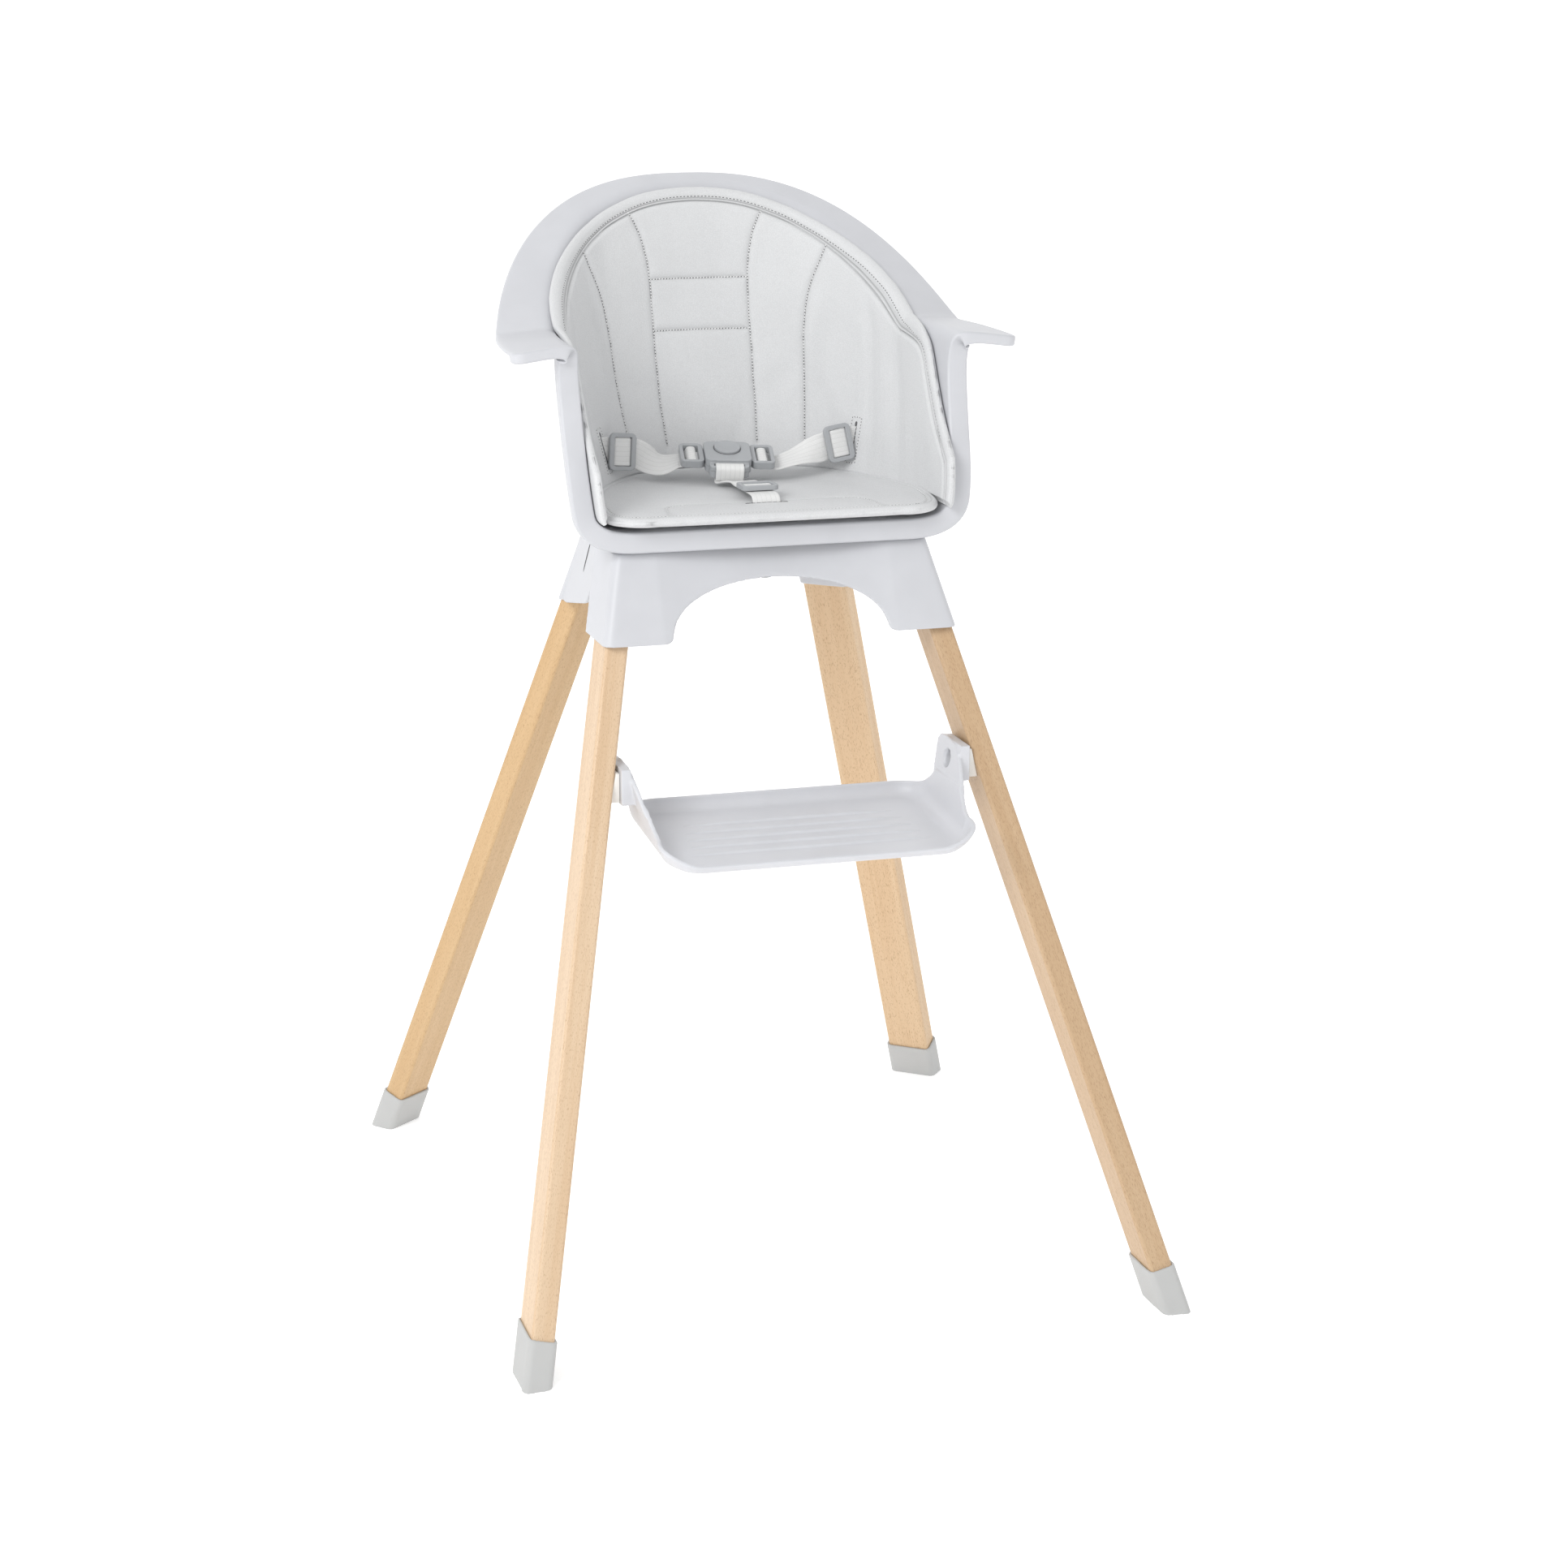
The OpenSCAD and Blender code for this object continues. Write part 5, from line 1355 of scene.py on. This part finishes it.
def rest_tray():
    """The footrest's tray: a flat floor that sweeps up into its walls round every corner."""
    r, corner = REST_CORNER, np.linspace(0, math.pi / 2, 15)
    x_flat = np.linspace(0, REST_HALF - r, 20)
    y_flat = np.linspace(REST_FRONT + r, REST_BACK - r, 70)
    outline = []   # (foot of the wall, way out, lean, height)

    def side_height(y):
        return np.interp(y, *REST_TOP.T) - rest_floor(y)

    for x in x_flat[:-1]:
        outline.append(((x, REST_FRONT), (0, -1), LEAN_FRONT, LOW_FRONT))
    for a in corner:
        share = a / (math.pi / 2)
        n = (math.sin(a), -math.cos(a))
        lean = LEAN_FRONT + (REST_LEAN - LEAN_FRONT) * share + 0.32 * math.sin(math.pi * share)
        height = LOW_FRONT + (HIGH_CORNER - LOW_FRONT) * float(smooth(share))
        outline.append(((REST_HALF - r + r * n[0], REST_FRONT + r + r * n[1]), n, lean, height))
    for y in y_flat[1:-1]:
        outline.append(((REST_HALF, y), (1, 0), REST_LEAN, side_height(y)))
    for a in corner:
        n = (math.cos(a), math.sin(a))
        y = REST_BACK - r + r * n[1]
        lean = REST_LEAN + (LEAN_BACK - REST_LEAN) * a / (math.pi / 2)
        outline.append(((REST_HALF - r + r * n[0], y), n, lean, side_height(y)))
    for x in x_flat[::-1][1:]:
        outline.append(((x, REST_BACK), (0, 1), LEAN_BACK, outline[-1][3]))
    base, out, lean, top = zip(*outline)
    base, out, lean, top = (np.array(v, float) for v in (base, out, lean, top))
    back = slice(-2, 0, -1)
    mirror = np.array([-1.0, 1.0])
    base, out = np.vstack([base, base[back] * mirror]), np.vstack([out, out[back] * mirror])
    lean, top = np.concatenate([lean, lean[back]]), np.concatenate([top, top[back]])
    kernel = np.array([1, 2, 3, 2, 1]) / 9
    top = np.convolve(np.concatenate([top[-2:], top, top[:2]]), kernel, "valid")
    cols = len(base)
    fillet = np.minimum(FILLET, top * 0.8)
    grid, normals = [], []
    down = unit(np.array([0, SLOPE, -1.0]))
    middle = np.array([0, (REST_FRONT + REST_BACK) / 2])
    edge = base - out * fillet[:, None]
    for k in np.linspace(0.04, 1, 12):
        p = middle + (edge - middle) * k
        grid.append(np.column_stack([p, rest_floor(p[:, 1])]))
        normals.append(np.tile(down, (cols, 1)))
    floor_z = rest_floor(base[:, 1])
    wall_out = unit(np.column_stack([out, -lean]))
    for t in np.linspace(0, 1, 9)[1:]:
        a, b, c = (1 - t) ** 2, 2 * t * (1 - t), t * t
        p = edge * a + base * b + (base + out * (lean * fillet)[:, None]) * c
        z = rest_floor(edge[:, 1]) * a + floor_z * b + (floor_z + fillet) * c
        grid.append(np.column_stack([p, z]))
        normals.append(unit(down * (1 - t) + wall_out * t))
    for t in np.linspace(0, 1, 9)[1:]:
        u = fillet + (np.maximum(top, fillet + 0.6) - fillet) * t
        p = base + out * (lean * u)[:, None]
        grid.append(np.column_stack([p, floor_z + u]))
        normals.append(wall_out)
    inner = np.array(grid)
    outer = inner + np.array(normals) * REST_WALL
    rows, n = len(inner), inner.shape[0] * cols
    faces = []
    for first in (0, n):
        faces += ring_faces(rows, cols, first) + [tuple(range(first, first + cols))]
    faces += joint_faces(cols, n - cols, 2 * n - cols)
    return np.concatenate([inner.reshape(-1, 3), outer.reshape(-1, 3)]), faces


def rest_ribs():
    """The grip ribs across the tray, each a little shorter than the one in front of it."""
    way, up = [np.array([1.0, 0, 0])], [np.array([0, 0, 1.0])]
    for k in range(RIBS):
        y = REST_FRONT + RIB_FIRST + RIB_PITCH * k
        centre = np.array([0, y, rest_floor(y) + 0.5])
        yield capsules([centre], way, up, 210 - 6 * k, 3.2, 3.4, sides=10, rings=15)


SLIT = np.array([(137.0, 68.1, 586.8), (130.3, 68.1, 612.5)])   # ends of the slit on the side wall's outer face
SIDE_OUT = unit([0.961, 0.118, 0.25])


def wall_slit_shade():
    """Painted shade for the slit in each side wall: dark rods for its shadowed inside, as the slit is too
    narrow for the remeshed moulding.
    """
    whole = ([], [])
    for side in (1, FLIP):
        a, b = SLIT * side
        join(whole, capsules([(a + b) / 2], [unit(b - a)], [SIDE_OUT * side], 27.0, 1.8, 1.2, sides=8, rings=9))
    add_mesh("leg_frame_slit_shade", *whole, "holes", "frame", "plastic")


def make_frame():
    moulded("leg_frame", "leg_frame_moulding", 1.15, 5, "plastic", "frame")
    wall_slit_shade()
    moulded("footrest", "footrest_moulding", 0.95, 4, "rest", "footrest", above=423,
            extra=[rest_tray(), *rest_ribs()])
    hard("seat_release_tab", "release_tab_moulding", 0.6, "release_tab")
    for end in ("front", "rear"):
        for side in ("left", "right"):
            cap = f"foot_cap_{end}_{side}"
            moulded(cap, f"{cap}_moulding", 0.8, 5, "caps", "frame")
    for side in ("left", "right"):
        stud = f"footrest_stud_{side}"
        moulded(stud, f"{stud}_moulding", 0.6, 4, "studs", "frame")


def make_springs():
    """The two springs, as steel copies of their CAD nodes, each attached to its body."""
    for node, body, joint, travel, axis in (
        ("release_spring", "release_tab", "release_tab_push", 2.5, np.array([0, 0, 1.0])),
        ("button_spring", "seat", "button_push", 2.2, BUCKLE_UP),
    ):
        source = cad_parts[node]
        obj = link(f"{node}_coil", source.data.copy())
        obj.matrix_world = source.matrix_world
        dress(obj, MATERIALS["steel"])
        points = np.empty(len(obj.data.vertices) * 3)
        obj.data.vertices.foreach_get("co", points)
        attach(obj, body)
        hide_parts(node)
        tuple(axis)
        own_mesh(obj)


# How much lighter or darker each leg's wood is, for red, green and blue
LEG_LIGHT = {
    "leg_front_left": (0.96, 1.0, 1.06),
    "leg_front_right": (0.76, 0.74, 0.71),
    "leg_rear_left": (0.84, 0.80, 0.68),
    "leg_rear_right": (0.95, 0.95, 0.93),
}


# Foot of the leg, its way up, and the direction of its thin side in degrees from +X
LEGS = (
    ("front", (279, -310.5, 0), (-0.244, 0.459, 1), -4.7),
    ("rear", (268.5, 310.5, 0), (-0.279, -0.292, 1), 230.0),
)


def dress_cad():
    """Materials for the CAD nodes that stay as they are."""
    for end, foot, lean, thin in LEGS:
        for side, flip in (("right", 1), ("left", -1)):
            mirror = np.array([flip, 1, 1])
            along = unit(np.array(lean) * mirror)
            way = np.array([math.cos(math.radians(thin)) * flip, math.sin(math.radians(thin)), 0])
            across = unit(way - (way @ along) * along)
            shift = 0.37 if side == "right" else 0.11   # so that no two legs have the same grain
            origin = to_scene(np.array(foot) * mirror) + np.array([0, 0, shift])
            node = f"leg_{end}_{side}"
            dress(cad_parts[node], beech(f"beech_{end}_{side}", origin, across, along, LEG_LIGHT[node]))
    dress(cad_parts["seat_bosses"], MATERIALS["plastic"])
    for node in ("seat_screws", "leg_bolts", "barrel_nuts", "stud_screws"):
        dress(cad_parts[node], MATERIALS["steel"])


# ---- Stage ----


def area_light(name, place, size, power):
    """A round soft light, aimed at the chair."""
    data = bpy.data.lights.new(name, "AREA")
    data.shape = "DISK"
    data.size = size
    data.energy = power
    light = link(name, data)
    light.location = place
    light.rotation_mode = "QUATERNION"
    light.rotation_quaternion = (Vector((0, 0, 0.6)) - Vector(place)).to_track_quat("-Z", "Y")


def make_stage():
    """A pale floor that bends up into a wall, an even white world, and two soft lights."""
    scene = bpy.context.scene
    world = bpy.data.worlds.new("studio")
    scene.world = world
    world.use_nodes = True
    background = world.node_tree.nodes["Background"]
    background.inputs["Color"].default_value = (1.0, 1.0, 1.0, 1)
    background.inputs["Strength"].default_value = 0.80
    reach, bend_at, bend_r, wall_top = 24, 4, 2, 16   # metres
    across = np.linspace(-reach, reach, 19)
    bend = np.linspace(0, math.pi / 2, 13)
    wall_y = np.full(5, bend_at + bend_r, float)
    run = np.concatenate([
        np.stack([np.linspace(-reach, bend_at, 12), np.zeros(12)], 1),
        np.stack([bend_at + bend_r * np.sin(bend), bend_r - bend_r * np.cos(bend)], 1)[1:],
        np.stack([wall_y, np.linspace(bend_r, wall_top, 6)[1:]], 1),
    ])
    points = np.stack([
        np.tile(across, len(run)), np.repeat(run[:, 0], len(across)), np.repeat(run[:, 1], len(across)),
    ], 1)
    floor = add_mesh("studio_floor", points, grid_faces(len(run), len(across)), "thread", metres=True)
    s = Shader("pale_floor", 0.8, 0.2)
    s.bsdf.inputs["Emission Color"].default_value = (1, 1, 1, 1)
    s.bsdf.inputs["Emission Strength"].default_value = 0.28
    at = s.coords()
    paper = s.mix(s.remap(s.noise(at, 6.0, 2.0), 0.3, 0.7), (0.93, 0.93, 0.93), (0.96, 0.96, 0.96))
    dress(floor, s.done(paper))
    area_light("key", (-2.3, -1.9, 2.5), 1.7, 58)
    area_light("fill", (2.4, -1.6, 1.8), 2.0, 5)
    scene.view_settings.view_transform = "Standard"
    scene.view_settings.look = "None"


make_camera()
make_stage()
make_shell()
liner_seams = liner_lines()
liner_height = make_back_liner(liner_seams, back_puff(liner_seams))
sew_back(liner_seams, liner_height)
seat_edge, seat_height = make_seat_liner()
sew_seat(seat_edge, seat_height)
make_harness()
make_frame()
make_springs()
dress_cad()
